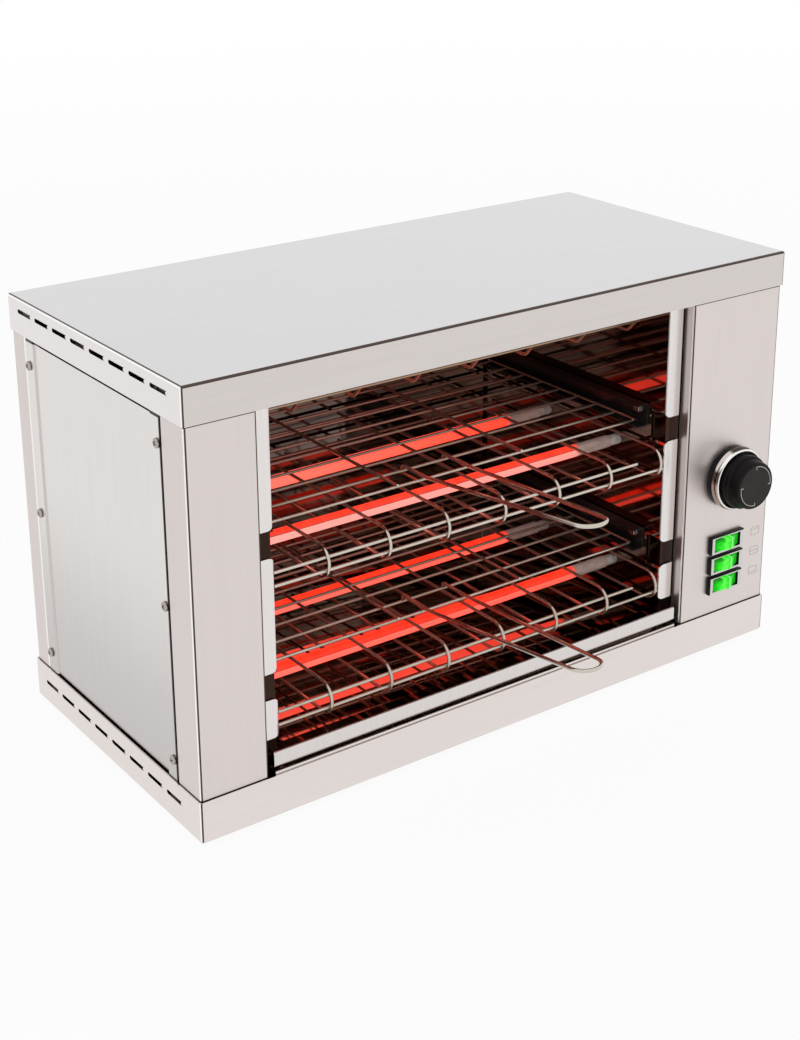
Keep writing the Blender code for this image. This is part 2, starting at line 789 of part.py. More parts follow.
def build_rear_panel(housing, bores):
    """The rear panel, wrapped round both rear corners, with vent slots and the hole for the gland."""
    edge = BODY_HALF_WIDTH
    flange = BODY_HALF_WIDTH - JOGGLE
    wrap_end = BODY_HALF_DEPTH - REAR_WRAP
    right_half = [
        (flange, wrap_end - JOGGLE_RUN - JOGGLE_FLANGE),
        (flange, wrap_end - JOGGLE_RUN),
        (edge, wrap_end),
        (edge, BODY_HALF_DEPTH),
    ]
    path = right_half + [(-across, along) for across, along in reversed(right_half)]
    panel = folded_sheet("rear_panel", path, "Z", STANDING_BOTTOM, STANDING_TOP)
    reach = SHEET + OVERRUN
    radius = GLAND_NECK_RADIUS + SEAT_GAP
    gland_hole = turned(
        "gland_hole",
        [(0, reach), (radius, reach), (radius, -reach), (0, -reach)],
        GLAND_STEPS,
        facing((0, 1, 0), gland_place()),
        CUTTERS,
    )
    first = gland_place()[0] - REAR_SLOT_PITCH * (REAR_SLOTS - 1) / 2
    slots = []
    for index in range(REAR_SLOTS):
        centre = (FOOT_HEIGHT + REAR_SLOT_CENTRE_HEIGHT, first + REAR_SLOT_PITCH * index)
        upright = [
            (across, up) for up, across in slot_outline(REAR_SLOT_LENGTH, REAR_SLOT_WIDTH, centre)
        ]
        front, back = BODY_HALF_DEPTH - reach, BODY_HALF_DEPTH + reach
        slots.append(outline_prism(f"rear_slot_{index}", upright, "Y", front, back, CUTTERS))
    cut(panel, [bores["left"], bores["right"], grouped("rear_cutouts", [gland_hole, *slots])])
    dress(panel, "satin_steel", housing)


def build_side_covers(housing, bores):
    """The covers of the two ends, lowered along the top to leave an air gap under the lid."""
    for name, side in (("left", -1), ("right", 1)):
        face = side * BODY_HALF_WIDTH
        recess = side * (BODY_HALF_WIDTH - COVER_RECESS)
        step_front = COVER_FRONT + COVER_MARGIN
        step_rear = COVER_REAR - COVER_MARGIN
        path = [
            (face, COVER_FRONT),
            (face, step_front),
            (recess, step_front + JOGGLE_RUN),
            (recess, step_rear - JOGGLE_RUN),
            (face, step_rear),
            (face, COVER_REAR),
        ]
        path = path if side > 0 else path[::-1]
        cover = folded_sheet(f"{name}_side_cover", path, "Z", STANDING_BOTTOM, STANDING_TOP)
        air_gap = box(
            f"{name}_air_gap",
            (face - OVERRUN, step_front, LID_EDGE - COVER_TOP_GAP),
            (face + OVERRUN, COVER_REAR - COVER_TOP_GAP_REAR_MARGIN, LID_TOP),
            CUTTERS,
        )
        cut(cover, [bores[name], air_gap])
        dress(cover, "satin_steel", housing)


def build_cover_screws(housing):
    """Round-head screws, six to a cover."""
    head, shank = SCREW_HEAD_RADIUS, SCREW_SHANK_RADIUS
    profile = [
        (0, SEAT_GAP + SCREW_HEAD_HEIGHT),
        (head - SCREW_HEAD_EDGE, SEAT_GAP + SCREW_HEAD_HEIGHT - SCREW_HEAD_CROWN),
        (head, SEAT_GAP + SCREW_HEAD_HEIGHT - SCREW_HEAD_CROWN - SCREW_HEAD_EDGE),
        (head, SEAT_GAP),
        (shank, SEAT_GAP),
        (shank, SEAT_GAP - SCREW_LENGTH),
        (0, SEAT_GAP - SCREW_LENGTH),
    ]
    for name, side in (("left", -1), ("right", 1)):
        for number, place in enumerate(screw_places(side), start=1):
            matrix = facing((side, 0, 0), place)
            screw = turned(f"{name}_cover_screw_{number}", profile, SCREW_STEPS, matrix)
            dress(screw, "chrome", housing, smooth=True)


# Toasting cavity


def notch(name, side, fold, outer, bottom, top):
    """Cutter for a notch in a liner's front flange, rounded where the flange meets the wall."""
    radius = NOTCH_RADIUS
    start = fold + side * (radius - SEAT_GAP)
    inside = fold - side * OVERRUN
    steps = range(NOTCH_SEGMENTS + 1)
    angles = [math.pi / 2 * step / NOTCH_SEGMENTS for step in steps]
    upper = [
        (start - side * radius * math.sin(angle), top + radius * (1 - math.cos(angle)))
        for angle in angles
    ]
    lower = [
        (start - side * radius * math.sin(angle), bottom - radius * (1 - math.cos(angle)))
        for angle in reversed(angles)
    ]
    points = [
        (outer, bottom),
        (outer, top),
        *upper,
        (inside, top + radius),
        (inside, bottom - radius),
        *lower,
    ]
    front = CAVITY_FRONT - OVERRUN
    return outline_prism(name, points, "Y", front, CAVITY_FRONT + NOTCH_DEPTH, CUTTERS)


def tube_bores(side, wall):
    """Cutters for the holes in one liner that the necks of the tubes pass through."""
    radius = TUBE_NECK_RADIUS + SEAT_GAP
    reach = SHEET + OVERRUN
    profile = [(0, reach), (radius, reach), (radius, -OVERRUN), (0, -OVERRUN)]
    return [
        turned(
            f"tube_bore_{level}_{row}",
            profile,
            TUBE_STEPS,
            facing((side, 0, 0), (wall, along, tube_height(level))),
            CUTTERS,
        )
        for level in range(len(LEVEL_NAMES))
        for row, along in TUBE_ROWS.items()
    ]


def build_liners(housing):
    """The polished walls of the cavity, each with a notched flange that shows beside the opening."""
    ends = (
        ("left", -1, CAVITY_LEFT, OPENING_LEFT + LEFT_FLANGE_GAP),
        ("right", 1, CAVITY_RIGHT, OPENING_RIGHT - RIGHT_FLANGE_GAP),
    )
    for name, side, fold, flange_end in ends:
        path = [(flange_end, CAVITY_FRONT), (fold, CAVITY_FRONT), (fold, LINER_REAR)]
        path = path if side < 0 else path[::-1]
        liner = folded_sheet(f"{name}_liner", path, "Z", STANDING_BOTTOM, STANDING_TOP)
        outer = flange_end + side * OVERRUN
        bottoms = [rack_height(level) - NOTCH_BELOW_RACK for level in RACK_LEVELS.values()]
        spans = [(bottom, bottom + NOTCH_HEIGHT) for bottom in bottoms]
        spans.append((STANDING_BOTTOM - OVERRUN, FOOT_HEIGHT + FLANGE_FOOT_HEIGHT))
        notches = [
            notch(f"{name}_notch_{index}", side, fold, outer, bottom, top)
            for index, (bottom, top) in enumerate(spans)
        ]
        cut(liner, [grouped(f"{name}_liner_cuts", notches + tube_bores(side, fold))])
        dress(liner, "polished_steel", housing)


def build_back_liner(housing):
    """The back wall of the cavity, with side flanges that reach to the rear panel."""
    left, right = CAVITY_LEFT - SHEET, CAVITY_RIGHT + SHEET
    rear = BODY_HALF_DEPTH - SHEET - SEAT_GAP
    path = [(left, rear), (left, CAVITY_BACK), (right, CAVITY_BACK), (right, rear)]
    liner = folded_sheet("back_liner", path, "Z", STANDING_BOTTOM, STANDING_TOP)
    dress(liner, "polished_steel", housing)


def build_ceiling_and_floor(housing):
    """The reflector over the top tubes, hung from the lid, and the floor that the crumb tray slides on."""
    left, right = CAVITY_LEFT + SEAT_GAP, CAVITY_RIGHT - SEAT_GAP
    front = CAVITY_FRONT + OVERRUN
    rear = CAVITY_BACK - SEAT_GAP
    path = [(left, STANDING_TOP), (left, CEILING), (right, CEILING), (right, STANDING_TOP)]
    reflector = folded_sheet("ceiling_reflector", path, "Y", front, rear)
    dress(reflector, "polished_steel", housing)
    top = FOOT_HEIGHT + INNER_FLOOR_HEIGHT
    path = [(right, STANDING_BOTTOM), (right, top), (left, top), (left, STANDING_BOTTOM)]
    floor = folded_sheet("inner_floor", path, "Y", front, rear)
    dress(floor, "polished_steel", housing)


def build_rails(housing):
    """Channels on the side walls that the racks slide in."""
    rear = CAVITY_BACK - RAIL_REAR_CLEARANCE
    for level_name, level in RACK_LEVELS.items():
        bottom = rack_height(level) - RACK_WIRE / 2 - SEAT_GAP - SHEET
        top = bottom + RAIL_HEIGHT
        for name, side, wall in (("left", -1, CAVITY_LEFT), ("right", 1, CAVITY_RIGHT)):
            back = wall - side * SEAT_GAP
            lip = wall - side * (SEAT_GAP + RAIL_REACH)
            path = [(lip, bottom), (back, bottom), (back, top), (lip, top)]
            path = path if side > 0 else path[::-1]
            rail = folded_sheet(f"rack_rail_{level_name}_{name}", path, "Y", RAIL_FRONT_Y, rear)
            dress(rail, "dark_steel", housing)


def build_tubes(housing):
    """Quartz tubes with a ceramic collar at each end and a neck through each liner."""
    right = CAVITY_RIGHT - SEAT_GAP - CAVITY_MIDDLE
    half = [
        (0, right + SEAT_GAP + TUBE_NECK_LENGTH),
        (TUBE_NECK_RADIUS, right + SEAT_GAP + TUBE_NECK_LENGTH),
        (TUBE_NECK_RADIUS, right),
        (TUBE_COLLAR_RADIUS, right),
        (TUBE_COLLAR_RADIUS, right - TUBE_COLLAR_LENGTH),
        (TUBE_RADIUS, right - TUBE_COLLAR_LENGTH),
    ]
    profile = half + [(radius, -along) for radius, along in reversed(half)]
    for level, level_name in enumerate(LEVEL_NAMES):
        for row, along in TUBE_ROWS.items():
            matrix = facing((1, 0, 0), (CAVITY_MIDDLE, along, tube_height(level)))
            tube = turned(f"quartz_tube_{level_name}_{row}", profile, TUBE_STEPS, matrix)
            dress(tube, "hot_quartz", housing, smooth=True)


def loop_path(height):
    """A hairpin that runs forward over the tubes, bends down in front of them and runs back below."""
    rear = CAVITY_BACK - GUARD_REAR_CLEARANCE
    points = [(rear, height + GUARD_LOOP_RADIUS)]
    for step in range(GUARD_LOOP_SEGMENTS + 1):
        angle = math.pi / 2 + math.pi * step / GUARD_LOOP_SEGMENTS
        across = GUARD_LOOP_Y + GUARD_LOOP_RADIUS * math.cos(angle)
        points.append((across, height + GUARD_LOOP_RADIUS * math.sin(angle)))
    points.append((rear, height - GUARD_LOOP_RADIUS))
    return points


def rising_path(height):
    """A strand that runs forward below the top tubes and then rises in front of them."""
    rear = CAVITY_BACK - GUARD_REAR_CLEARANCE
    low = height - GUARD_LOOP_RADIUS
    knee = TUBE_ROWS["front"] - GUARD_TOP_KNEE
    run = GUARD_TOP_RISE / math.tan(GUARD_TOP_SLOPE)
    return [(rear, low), (knee, low), (knee - run, low + GUARD_TOP_RISE)]


def build_guard(housing, level):
    """The wires that keep food off one pair of tubes, tied by bars that end at the side walls."""
    name = f"tube_guard_{LEVEL_NAMES[level]}"
    is_top = level == TOP_LEVEL
    height = tube_height(level) - (0 if is_top else GUARD_DROP)
    path = rising_path(height) if is_top else loop_path(height)
    first, last = CAVITY_LEFT + GUARD_FIRST_HAIRPIN, CAVITY_RIGHT - GUARD_LAST_HAIRPIN
    pitch = (last - first) / (GUARD_HAIRPINS - 1)
    columns = [first + pitch * index for index in range(GUARD_HAIRPINS)]
    pieces = [
        wire(f"{name}_hairpin_{index}", [(across, *point) for point in path], GUARD_WIRE)
        for index, across in enumerate(columns)
    ]
    left, right = CAVITY_LEFT + SEAT_GAP, CAVITY_RIGHT - SEAT_GAP
    touch = GUARD_WIRE - WIRE_OVERLAP
    rear = path[0][0] - GUARD_REAR_BAR_SETBACK
    low = height - GUARD_LOOP_RADIUS
    bars = [(rear, low + touch, right)]
    if is_top:
        knee = path[-2]
        run = GUARD_TOP_BAR_HEIGHT / math.tan(GUARD_TOP_SLOPE)
        ahead = knee[0] - run - touch * math.sin(GUARD_TOP_SLOPE)
        under = knee[1] + GUARD_TOP_BAR_HEIGHT - touch * math.cos(GUARD_TOP_SLOPE)
        bars.append((ahead, under, right))
    else:
        reach = GUARD_LOOP_RADIUS - touch
        bars.append((rear, height + GUARD_LOOP_RADIUS - touch, right))
        ahead = GUARD_LOOP_Y - reach * math.cos(GUARD_BAR_RAKE)
        lift = reach * math.sin(GUARD_BAR_RAKE)
        bars.append((ahead, height - lift, right))
        bars.append((ahead, height + lift, right - GUARD_BAR_SHORT_END))
    for index, (along, up, end) in enumerate(bars):
        ends = [(left, along, up), (end, along, up)]
        pieces.append(wire(f"{name}_bar_{index}", ends, GUARD_WIRE))
    guard = welded(name, pieces)
    move_origin(guard, (CAVITY_MIDDLE, GUARD_LOOP_Y, height))
    dress(guard, "wire_steel", housing, smooth=True)


# Racks and crumb tray


def rack_wire_y(index):
    return RACK_FRONT_WIRE_Y + RACK_PITCH * index


def build_rack(level_name, level, body):
    """A wire rack: runners over cross wires, with the cross wires' ends in the rails."""
    height = rack_height(level)
    left = CAVITY_LEFT + SEAT_GAP + SHEET + RACK_END_GAP
    right = CAVITY_RIGHT - SEAT_GAP - SHEET - RACK_END_GAP
    name = f"{level_name}_rack"
    pieces = []
    for index in range(RACK_CROSS_WIRES):
        along = rack_wire_y(index)
        ends = [(left, along, height), (right, along, height)]
        pieces.append(wire(f"{name}_cross_{index}", ends, RACK_WIRE))
    front = rack_wire_y(0) - RACK_RUNNER_OVERHANG
    rear = rack_wire_y(RACK_CROSS_WIRES - 1) + RACK_RUNNER_OVERHANG
    over = height + RACK_WIRE - WIRE_OVERLAP
    first, last = left + RACK_RUNNER_INSET, right - RACK_RUNNER_INSET
    for index in range(RACK_RUNNERS):
        across = first + (last - first) * index / (RACK_RUNNERS - 1)
        ends = [(across, front, over), (across, rear, over)]
        pieces.append(wire(f"{name}_runner_{index}", ends, RACK_WIRE))
    runners = pieces[RACK_CROSS_WIRES:]
    crosses = pieces[:RACK_CROSS_WIRES]
    rack = welded(name, [runners[0], *crosses, *runners[1:]])
    move_origin(rack, body.matrix_world.translation)
    dress(rack, "wire_steel", body, smooth=True)


def build_rack_handle(level_name, level, body):
    """A wire handle: two legs hooked over the front wires of the rack that meet in a rounded tip."""
    lift = (RACK_WIRE + HANDLE_WIRE) / 2 + SEAT_GAP
    height = rack_height(level) + lift
    hook_y = rack_wire_y(1) + lift
    corner = lift * math.tan(math.pi / 8)
    level_end = rack_wire_y(0) - HANDLE_LEVEL_RUN
    tip_z = height + HANDLE_RISE
    leg = [
        (HANDLE_LEG_SPREAD, hook_y, height - lift - HANDLE_HOOK_DROP),
        (HANDLE_LEG_SPREAD, hook_y, height - lift + corner),
        (HANDLE_LEG_SPREAD, rack_wire_y(1) + corner, height),
        (HANDLE_LEG_SPREAD, level_end, height),
    ]
    arc = []
    for step in range(HANDLE_TIP_SEGMENTS + 1):
        angle = math.pi * step / HANDLE_TIP_SEGMENTS
        across = HANDLE_TIP_RADIUS * math.cos(angle)
        along = HANDLE_TIP_Y - HANDLE_TIP_RADIUS * math.sin(angle)
        rise = (level_end - along) / (level_end - HANDLE_TIP_Y)
        arc.append((across, along, height + (tip_z - height) * rise))
    other_leg = [(-across, along, up) for across, along, up in reversed(leg)]
    middle = CAVITY_MIDDLE - HANDLE_OFFSET
    points = [(middle + across, along, up) for across, along, up in leg + arc + other_leg]
    handle = wire(f"{level_name}_rack_handle", points, HANDLE_WIRE)
    move_origin(handle, body.matrix_world.translation)
    dress(handle, "wire_steel", body, smooth=True)


def build_crumb_tray(body):
    """An open tray under the lowest tubes, with a folded lip across the opening."""
    left = CAVITY_LEFT + TRAY_SIDE_CLEARANCE
    right = CAVITY_RIGHT - TRAY_SIDE_CLEARANCE
    front = -CASE_HALF_DEPTH + TRAY_FRONT_SETBACK
    top = FOOT_HEIGHT + TRAY_TOP_HEIGHT
    pan = open_shell(
        "crumb_tray_pan",
        (left, front, FOOT_HEIGHT + INNER_FLOOR_HEIGHT + SEAT_GAP),
        (right, CAVITY_BACK - TRAY_REAR_CLEARANCE, top),
        (0, 0, 1),
        TRAY_SHEET,
        FOLD_RADIUS,
    )
    face = -CASE_HALF_DEPTH + TRAY_LIP_SETBACK
    bottom = FOOT_HEIGHT + TRAY_LIP_BOTTOM_HEIGHT
    path = [
        (front + TRAY_SHEET / 2, top),
        (face, top),
        (face, bottom),
        (face + TRAY_LIP_HEM, bottom),
    ]
    lip = folded_sheet(
        "crumb_tray_lip", path, "X", OPENING_LEFT + TRAY_LIP_INSET, OPENING_RIGHT - TRAY_LIP_INSET,
        SHEET,
    )
    tray = welded("crumb_tray", [pan, lip])
    move_origin(tray, body.matrix_world.translation)
    dress(tray, "polished_steel", body)


# Controls


def knob_matrix(distance=0):
    return facing((0, -1, 0), (KNOB_X, PANEL_FACE - distance, KNOB_Z))


def build_timer(housing, knob_body):
    """The timer behind the panel, its collar and shaft, and the knob with its bright ring."""
    half = TIMER_WIDTH / 2
    back = PANEL_FACE + SHEET + SEAT_GAP
    timer = box(
        "timer_body",
        (KNOB_X - half, back, KNOB_Z - half),
        (KNOB_X + half, back + TIMER_DEPTH, KNOB_Z + half),
    )
    edges = timer.modifiers.new("edges", "BEVEL")
    edges.width = TIMER_EDGE
    edges.segments = 2
    bore = SHAFT_RADIUS + SHAFT_BORE_CLEARANCE
    depth = SHEET + SEAT_GAP + SHAFT_IN_TIMER
    well = turned(
        "timer_bore",
        [(0, 0), (bore, 0), (bore, -depth - SEAT_GAP), (0, -depth - SEAT_GAP)],
        SHAFT_STEPS,
        knob_matrix(),
        CUTTERS,
    )
    cut(timer, [well])
    dress(timer, "pale_plastic", housing)

    collar_front = SEAT_GAP + COLLAR_LENGTH
    hole = SHAFT_RADIUS + SHAFT_PANEL_CLEARANCE
    profile = [
        (hole, collar_front),
        (COLLAR_RADIUS - COLLAR_CHAMFER, collar_front),
        (COLLAR_RADIUS, collar_front - COLLAR_CHAMFER),
        (COLLAR_RADIUS, SEAT_GAP),
        (hole, SEAT_GAP),
    ]
    collar = turned("timer_collar", profile, ROUND_STEPS, knob_matrix(), closed=True)
    dress(collar, "black_plastic", housing, smooth=True)

    ring_back = collar_front + SEAT_GAP
    ring_front = ring_back + RING_LENGTH
    profile = [
        (RING_BORE_RADIUS, ring_front),
        (RING_FRONT_RADIUS, ring_front),
        (RING_RADIUS, ring_back + RING_LAND),
        (RING_RADIUS, ring_back),
        (RING_BORE_RADIUS, ring_back),
    ]
    ring = turned("knob_ring", profile, ROUND_STEPS, knob_matrix(), closed=True)
    dress(ring, "chrome", knob_body, smooth=True)

    skirt_back = ring_front + SEAT_GAP
    skirt_front = skirt_back + KNOB_SKIRT_LENGTH
    cap_front = skirt_front + KNOB_CAP_LENGTH
    boss = RING_BORE_RADIUS - SEAT_GAP
    bore = SHAFT_RADIUS + SEAT_GAP
    shaft_front = ring_back + SHAFT_IN_KNOB
    bore_end = shaft_front + SEAT_GAP
    profile = [
        (0, cap_front),
        (KNOB_CAP_RADIUS - KNOB_EDGE, cap_front),
        (KNOB_CAP_RADIUS, cap_front - KNOB_EDGE),
        (KNOB_CAP_RADIUS, skirt_front),
        (KNOB_SKIRT_RADIUS - KNOB_EDGE, skirt_front),
        (KNOB_SKIRT_RADIUS, skirt_front - KNOB_EDGE),
        (KNOB_SKIRT_RADIUS, skirt_back),
        (boss, skirt_back),
        (boss, ring_back),
        (bore, ring_back),
        (bore, bore_end),
        (0, bore_end),
    ]
    knob = turned("timer_knob", profile, ROUND_STEPS, knob_matrix())
    dress(knob, "black_plastic", knob_body, smooth=True)

    profile = [
        (0, shaft_front),
        (SHAFT_RADIUS, shaft_front),
        (SHAFT_RADIUS, -depth),
        (0, -depth),
    ]
    shaft = turned("timer_shaft", profile, SHAFT_STEPS, knob_matrix())
    dress(shaft, "chrome", knob_body, smooth=True)


def rocker_outline():
    """The rocker seen from above about its pivot: round ends, a flat back and a ridge to the front."""
    radius = ROCKER_WIDTH / 2
    low = -math.asin(ROCKER_BACK / radius)
    high = math.asin(ROCKER_SHOULDER / radius)
    steps = range(ROCKER_END_SEGMENTS + 1)
    angles = [low + (high - low) * step / ROCKER_END_SEGMENTS for step in steps]
    right = [(radius * math.cos(angle), -radius * math.sin(angle)) for angle in angles]
    left = [(-across, along) for across, along in reversed(right)]
    return [*right, (0, -ROCKER_RIDGE), *left]


def build_switch(name, index, housing, rocker_body):
    """An illuminated rocker switch: a housing clipped into the panel and a lens that rocks in it."""
    height = switch_height(index)
    bezel = box(
        f"switch_bezel_{name}",
        (SWITCH_X - BEZEL_WIDTH / 2, BEZEL_FACE, height - BEZEL_HEIGHT / 2),
        (SWITCH_X + BEZEL_WIDTH / 2, PANEL_FACE - SEAT_GAP, height + BEZEL_HEIGHT / 2),
    )
    edges = bezel.modifiers.new("edges", "BEVEL")
    edges.width = BEZEL_EDGE
    edges.segments = 1
    body = box(
        f"switch_body_{name}",
        (SWITCH_X - SWITCH_BODY_WIDTH / 2, BEZEL_FACE + BEZEL_EDGE, height - SWITCH_BODY_HEIGHT / 2),
        (
            SWITCH_X + SWITCH_BODY_WIDTH / 2,
            PANEL_FACE + SWITCH_BODY_DEPTH,
            height + SWITCH_BODY_HEIGHT / 2,
        ),
    )
    switch = welded(f"switch_housing_{name}", [bezel, body])
    half_width = ROCKER_WIDTH / 2 + ROCKER_CLEARANCE
    half_height = ROCKER_HEIGHT / 2 + ROCKER_CLEARANCE
    pocket = box(
        f"rocker_pocket_{name}",
        (SWITCH_X - half_width, BEZEL_FACE - OVERRUN, height - half_height),
        (SWITCH_X + half_width, ROCKER_PIVOT_Y + ROCKER_POCKET_DEPTH, height + half_height),
        CUTTERS,
    )
    cut(switch, [pocket])
    dress(switch, "black_plastic", housing)
    rocker = outline_prism(
        f"rocker_{name}", rocker_outline(), "Z", -ROCKER_HEIGHT / 2, ROCKER_HEIGHT / 2
    )
    pivot = Matrix.Translation((SWITCH_X, ROCKER_PIVOT_Y, height))
    rocker.matrix_world = pivot @ Matrix.Rotation(ROCKER_TILT, 4, "Z")
    dress(rocker, "green_lens", rocker_body)


# Mains side


def gland_place():
    """Point on the outer face of the rear panel where the cable gland sits."""
    return (BODY_HALF_WIDTH - GLAND_FROM_RIGHT_EDGE, BODY_HALF_DEPTH, FOOT_HEIGHT + GLAND_HEIGHT)


def build_mains_side(housing):
    """The gland in the rear panel and the terminal block on the base behind it."""
    outer = SEAT_GAP + GLAND_FLANGE_THICKNESS
    profile = [
        (GLAND_BORE_RADIUS, outer),
        (GLAND_FLANGE_RADIUS, outer),
        (GLAND_FLANGE_RADIUS, SEAT_GAP),
        (GLAND_NECK_RADIUS, SEAT_GAP),
        (GLAND_NECK_RADIUS, outer - GLAND_LENGTH),
        (GLAND_BORE_RADIUS, outer - GLAND_LENGTH),
    ]
    matrix = facing((0, 1, 0), gland_place())
    gland = turned("cable_gland", profile, GLAND_STEPS, matrix, closed=True)
    dress(gland, "black_plastic", housing, smooth=True)

    right = BODY_HALF_WIDTH - TERMINAL_FROM_RIGHT_EDGE
    rear = BODY_HALF_DEPTH - TERMINAL_FROM_REAR
    top = STANDING_BOTTOM + TERMINAL_HEIGHT
    block = box(
        "terminal_block",
        (right - TERMINAL_WIDTH, rear - TERMINAL_DEPTH, STANDING_BOTTOM),
        (right, rear, top),
    )
    pitch = TERMINAL_WIDTH / TERMINAL_WELLS
    wells = [
        turned(
            f"terminal_well_{index}",
            [
                (0, OVERRUN),
                (TERMINAL_WELL_RADIUS, OVERRUN),
                (TERMINAL_WELL_RADIUS, -TERMINAL_WELL_DEPTH),
                (0, -TERMINAL_WELL_DEPTH),
            ],
            TERMINAL_STEPS,
            Matrix.Translation((right - pitch * (index + 1 / 2), rear - TERMINAL_DEPTH / 2, top)),
            CUTTERS,
        )
        for index in range(TERMINAL_WELLS)
    ]
    cut(block, [grouped("terminal_wells", wells)])
    dress(block, "pale_plastic", housing)


def set_over_origin():
    """Sets the middle of the whole depth over the origin, the hidden cutters along with the parts."""
    shift = Matrix.Translation((0, -(FRONT_MOST_Y + REAR_MOST_Y) / 2, 0))
    for group in (PARTS, CUTTERS):
        for item in group.objects:
            if item.parent is None:
                item.matrix_world = shift @ item.matrix_world


def main():
    housing = carrier("housing", (0, 0, 0))
    bores = {"left": screw_bores(-1), "right": screw_bores(1)}
    build_lid(housing)
    build_base(housing)
    build_front_column(housing, bores)
    build_control_panel(housing, bores)
    build_rear_panel(housing, bores)
    build_side_covers(housing, bores)
    build_cover_screws(housing)
    build_liners(housing)
    build_back_liner(housing)
    build_ceiling_and_floor(housing)
    build_rails(housing)
    build_tubes(housing)
    for level in range(len(LEVEL_NAMES)):
        build_guard(housing, level)
    for name, level in RACK_LEVELS.items():
        slide = (CAVITY_MIDDLE, rack_wire_y(0), rack_height(level))
        body = carrier(f"{name}_rack_slide", slide, housing)
        build_rack(name, level, body)
        build_rack_handle(name, level, body)
    tray_slide = (CAVITY_MIDDLE, CAVITY_FRONT, FOOT_HEIGHT + INNER_FLOOR_HEIGHT)
    build_crumb_tray(carrier("crumb_tray_slide", tray_slide, housing))
    build_timer(housing, carrier("knob_axis", (KNOB_X, PANEL_FACE, KNOB_Z), housing))
    for index, name in enumerate(("upper", "middle", "lower")):
        pivot = (SWITCH_X, ROCKER_PIVOT_Y, switch_height(index))
        build_switch(name, index, housing, carrier(f"rocker_axis_{name}", pivot, housing))
    build_mains_side(housing)
    set_over_origin()


main()
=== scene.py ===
import logging
import math
from collections.abc import Callable, Iterable, Sequence
from dataclasses import dataclass
from enum import Enum
from typing import ClassVar

import bmesh
import bpy
from mathutils import Matrix, Vector


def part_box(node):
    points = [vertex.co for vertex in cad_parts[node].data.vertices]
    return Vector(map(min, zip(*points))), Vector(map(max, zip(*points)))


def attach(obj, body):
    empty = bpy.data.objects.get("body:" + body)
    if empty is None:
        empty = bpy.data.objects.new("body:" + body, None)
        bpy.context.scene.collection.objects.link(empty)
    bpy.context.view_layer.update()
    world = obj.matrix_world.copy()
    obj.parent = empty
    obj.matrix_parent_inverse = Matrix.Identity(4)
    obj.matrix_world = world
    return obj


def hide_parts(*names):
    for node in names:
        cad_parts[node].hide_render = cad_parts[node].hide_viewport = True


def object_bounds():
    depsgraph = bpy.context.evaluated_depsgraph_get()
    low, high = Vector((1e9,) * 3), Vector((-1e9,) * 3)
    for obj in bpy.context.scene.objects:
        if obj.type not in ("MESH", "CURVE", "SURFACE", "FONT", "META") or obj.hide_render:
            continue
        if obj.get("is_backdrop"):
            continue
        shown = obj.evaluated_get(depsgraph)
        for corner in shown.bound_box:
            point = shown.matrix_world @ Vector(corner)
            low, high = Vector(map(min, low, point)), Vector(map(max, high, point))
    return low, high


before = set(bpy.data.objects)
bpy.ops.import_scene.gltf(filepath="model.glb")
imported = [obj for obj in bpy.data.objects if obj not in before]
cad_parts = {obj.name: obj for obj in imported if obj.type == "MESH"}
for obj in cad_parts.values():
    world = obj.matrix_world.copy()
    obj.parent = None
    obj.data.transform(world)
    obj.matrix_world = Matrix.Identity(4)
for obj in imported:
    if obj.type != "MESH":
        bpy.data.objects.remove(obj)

CAD_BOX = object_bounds()

Triple = tuple[float, float, float]
Colour = Triple
Stop = tuple[float, Colour]
Profile = tuple[tuple[float, float], ...]
Item = bpy.types.Object
Socket = bpy.types.NodeSocket
Test = Callable[[Vector, Vector], bool]

HOUSING = "housing"
STEP_ANGLE = math.radians(15)
SMOOTH_ANGLE = math.radians(35)
BEVEL_ANGLE = math.radians(40)
MERGE_DISTANCE = 0.000002
TOUCH = 0.0003
WHITE = (1.0, 1.0, 1.0)
NOISE_SPAN = (0.3, 0.7)

log = logging.getLogger("toaster")


class Axis(Enum):
    """The three directions of the frame, as unit vectors."""

    X = (1, 0, 0)
    Y = (0, 1, 0)
    Z = (0, 0, 1)

    @property
    def vector(self) -> Vector:
        """The direction as a vector."""
        return Vector(self.value)


class Level(Enum):
    """The three pairs of tubes, from the lowest up."""

    BOTTOM = "bottom"
    MIDDLE = "middle"
    TOP = "top"


class Row(Enum):
    """The two tubes of a pair."""

    FRONT = "front"
    REAR = "rear"


class Deck(Enum):
    """The two racks."""

    UPPER = "upper"
    LOWER = "lower"


class Side(Enum):
    """The two ends of the casing, by the sign of X."""

    LEFT = -1
    RIGHT = 1

    @property
    def word(self) -> str:
        """The side's name in lower case."""
        return self.name.lower()

    @property
    def outward(self) -> Vector:
        """The direction away from the middle of the casing."""
        return Axis.X.vector * self.value


# Node patterns and finishes


def dimmed(colour: Colour, share: float) -> Colour:
    """A colour at a share of its strength."""
    return tuple(value * share for value in colour)


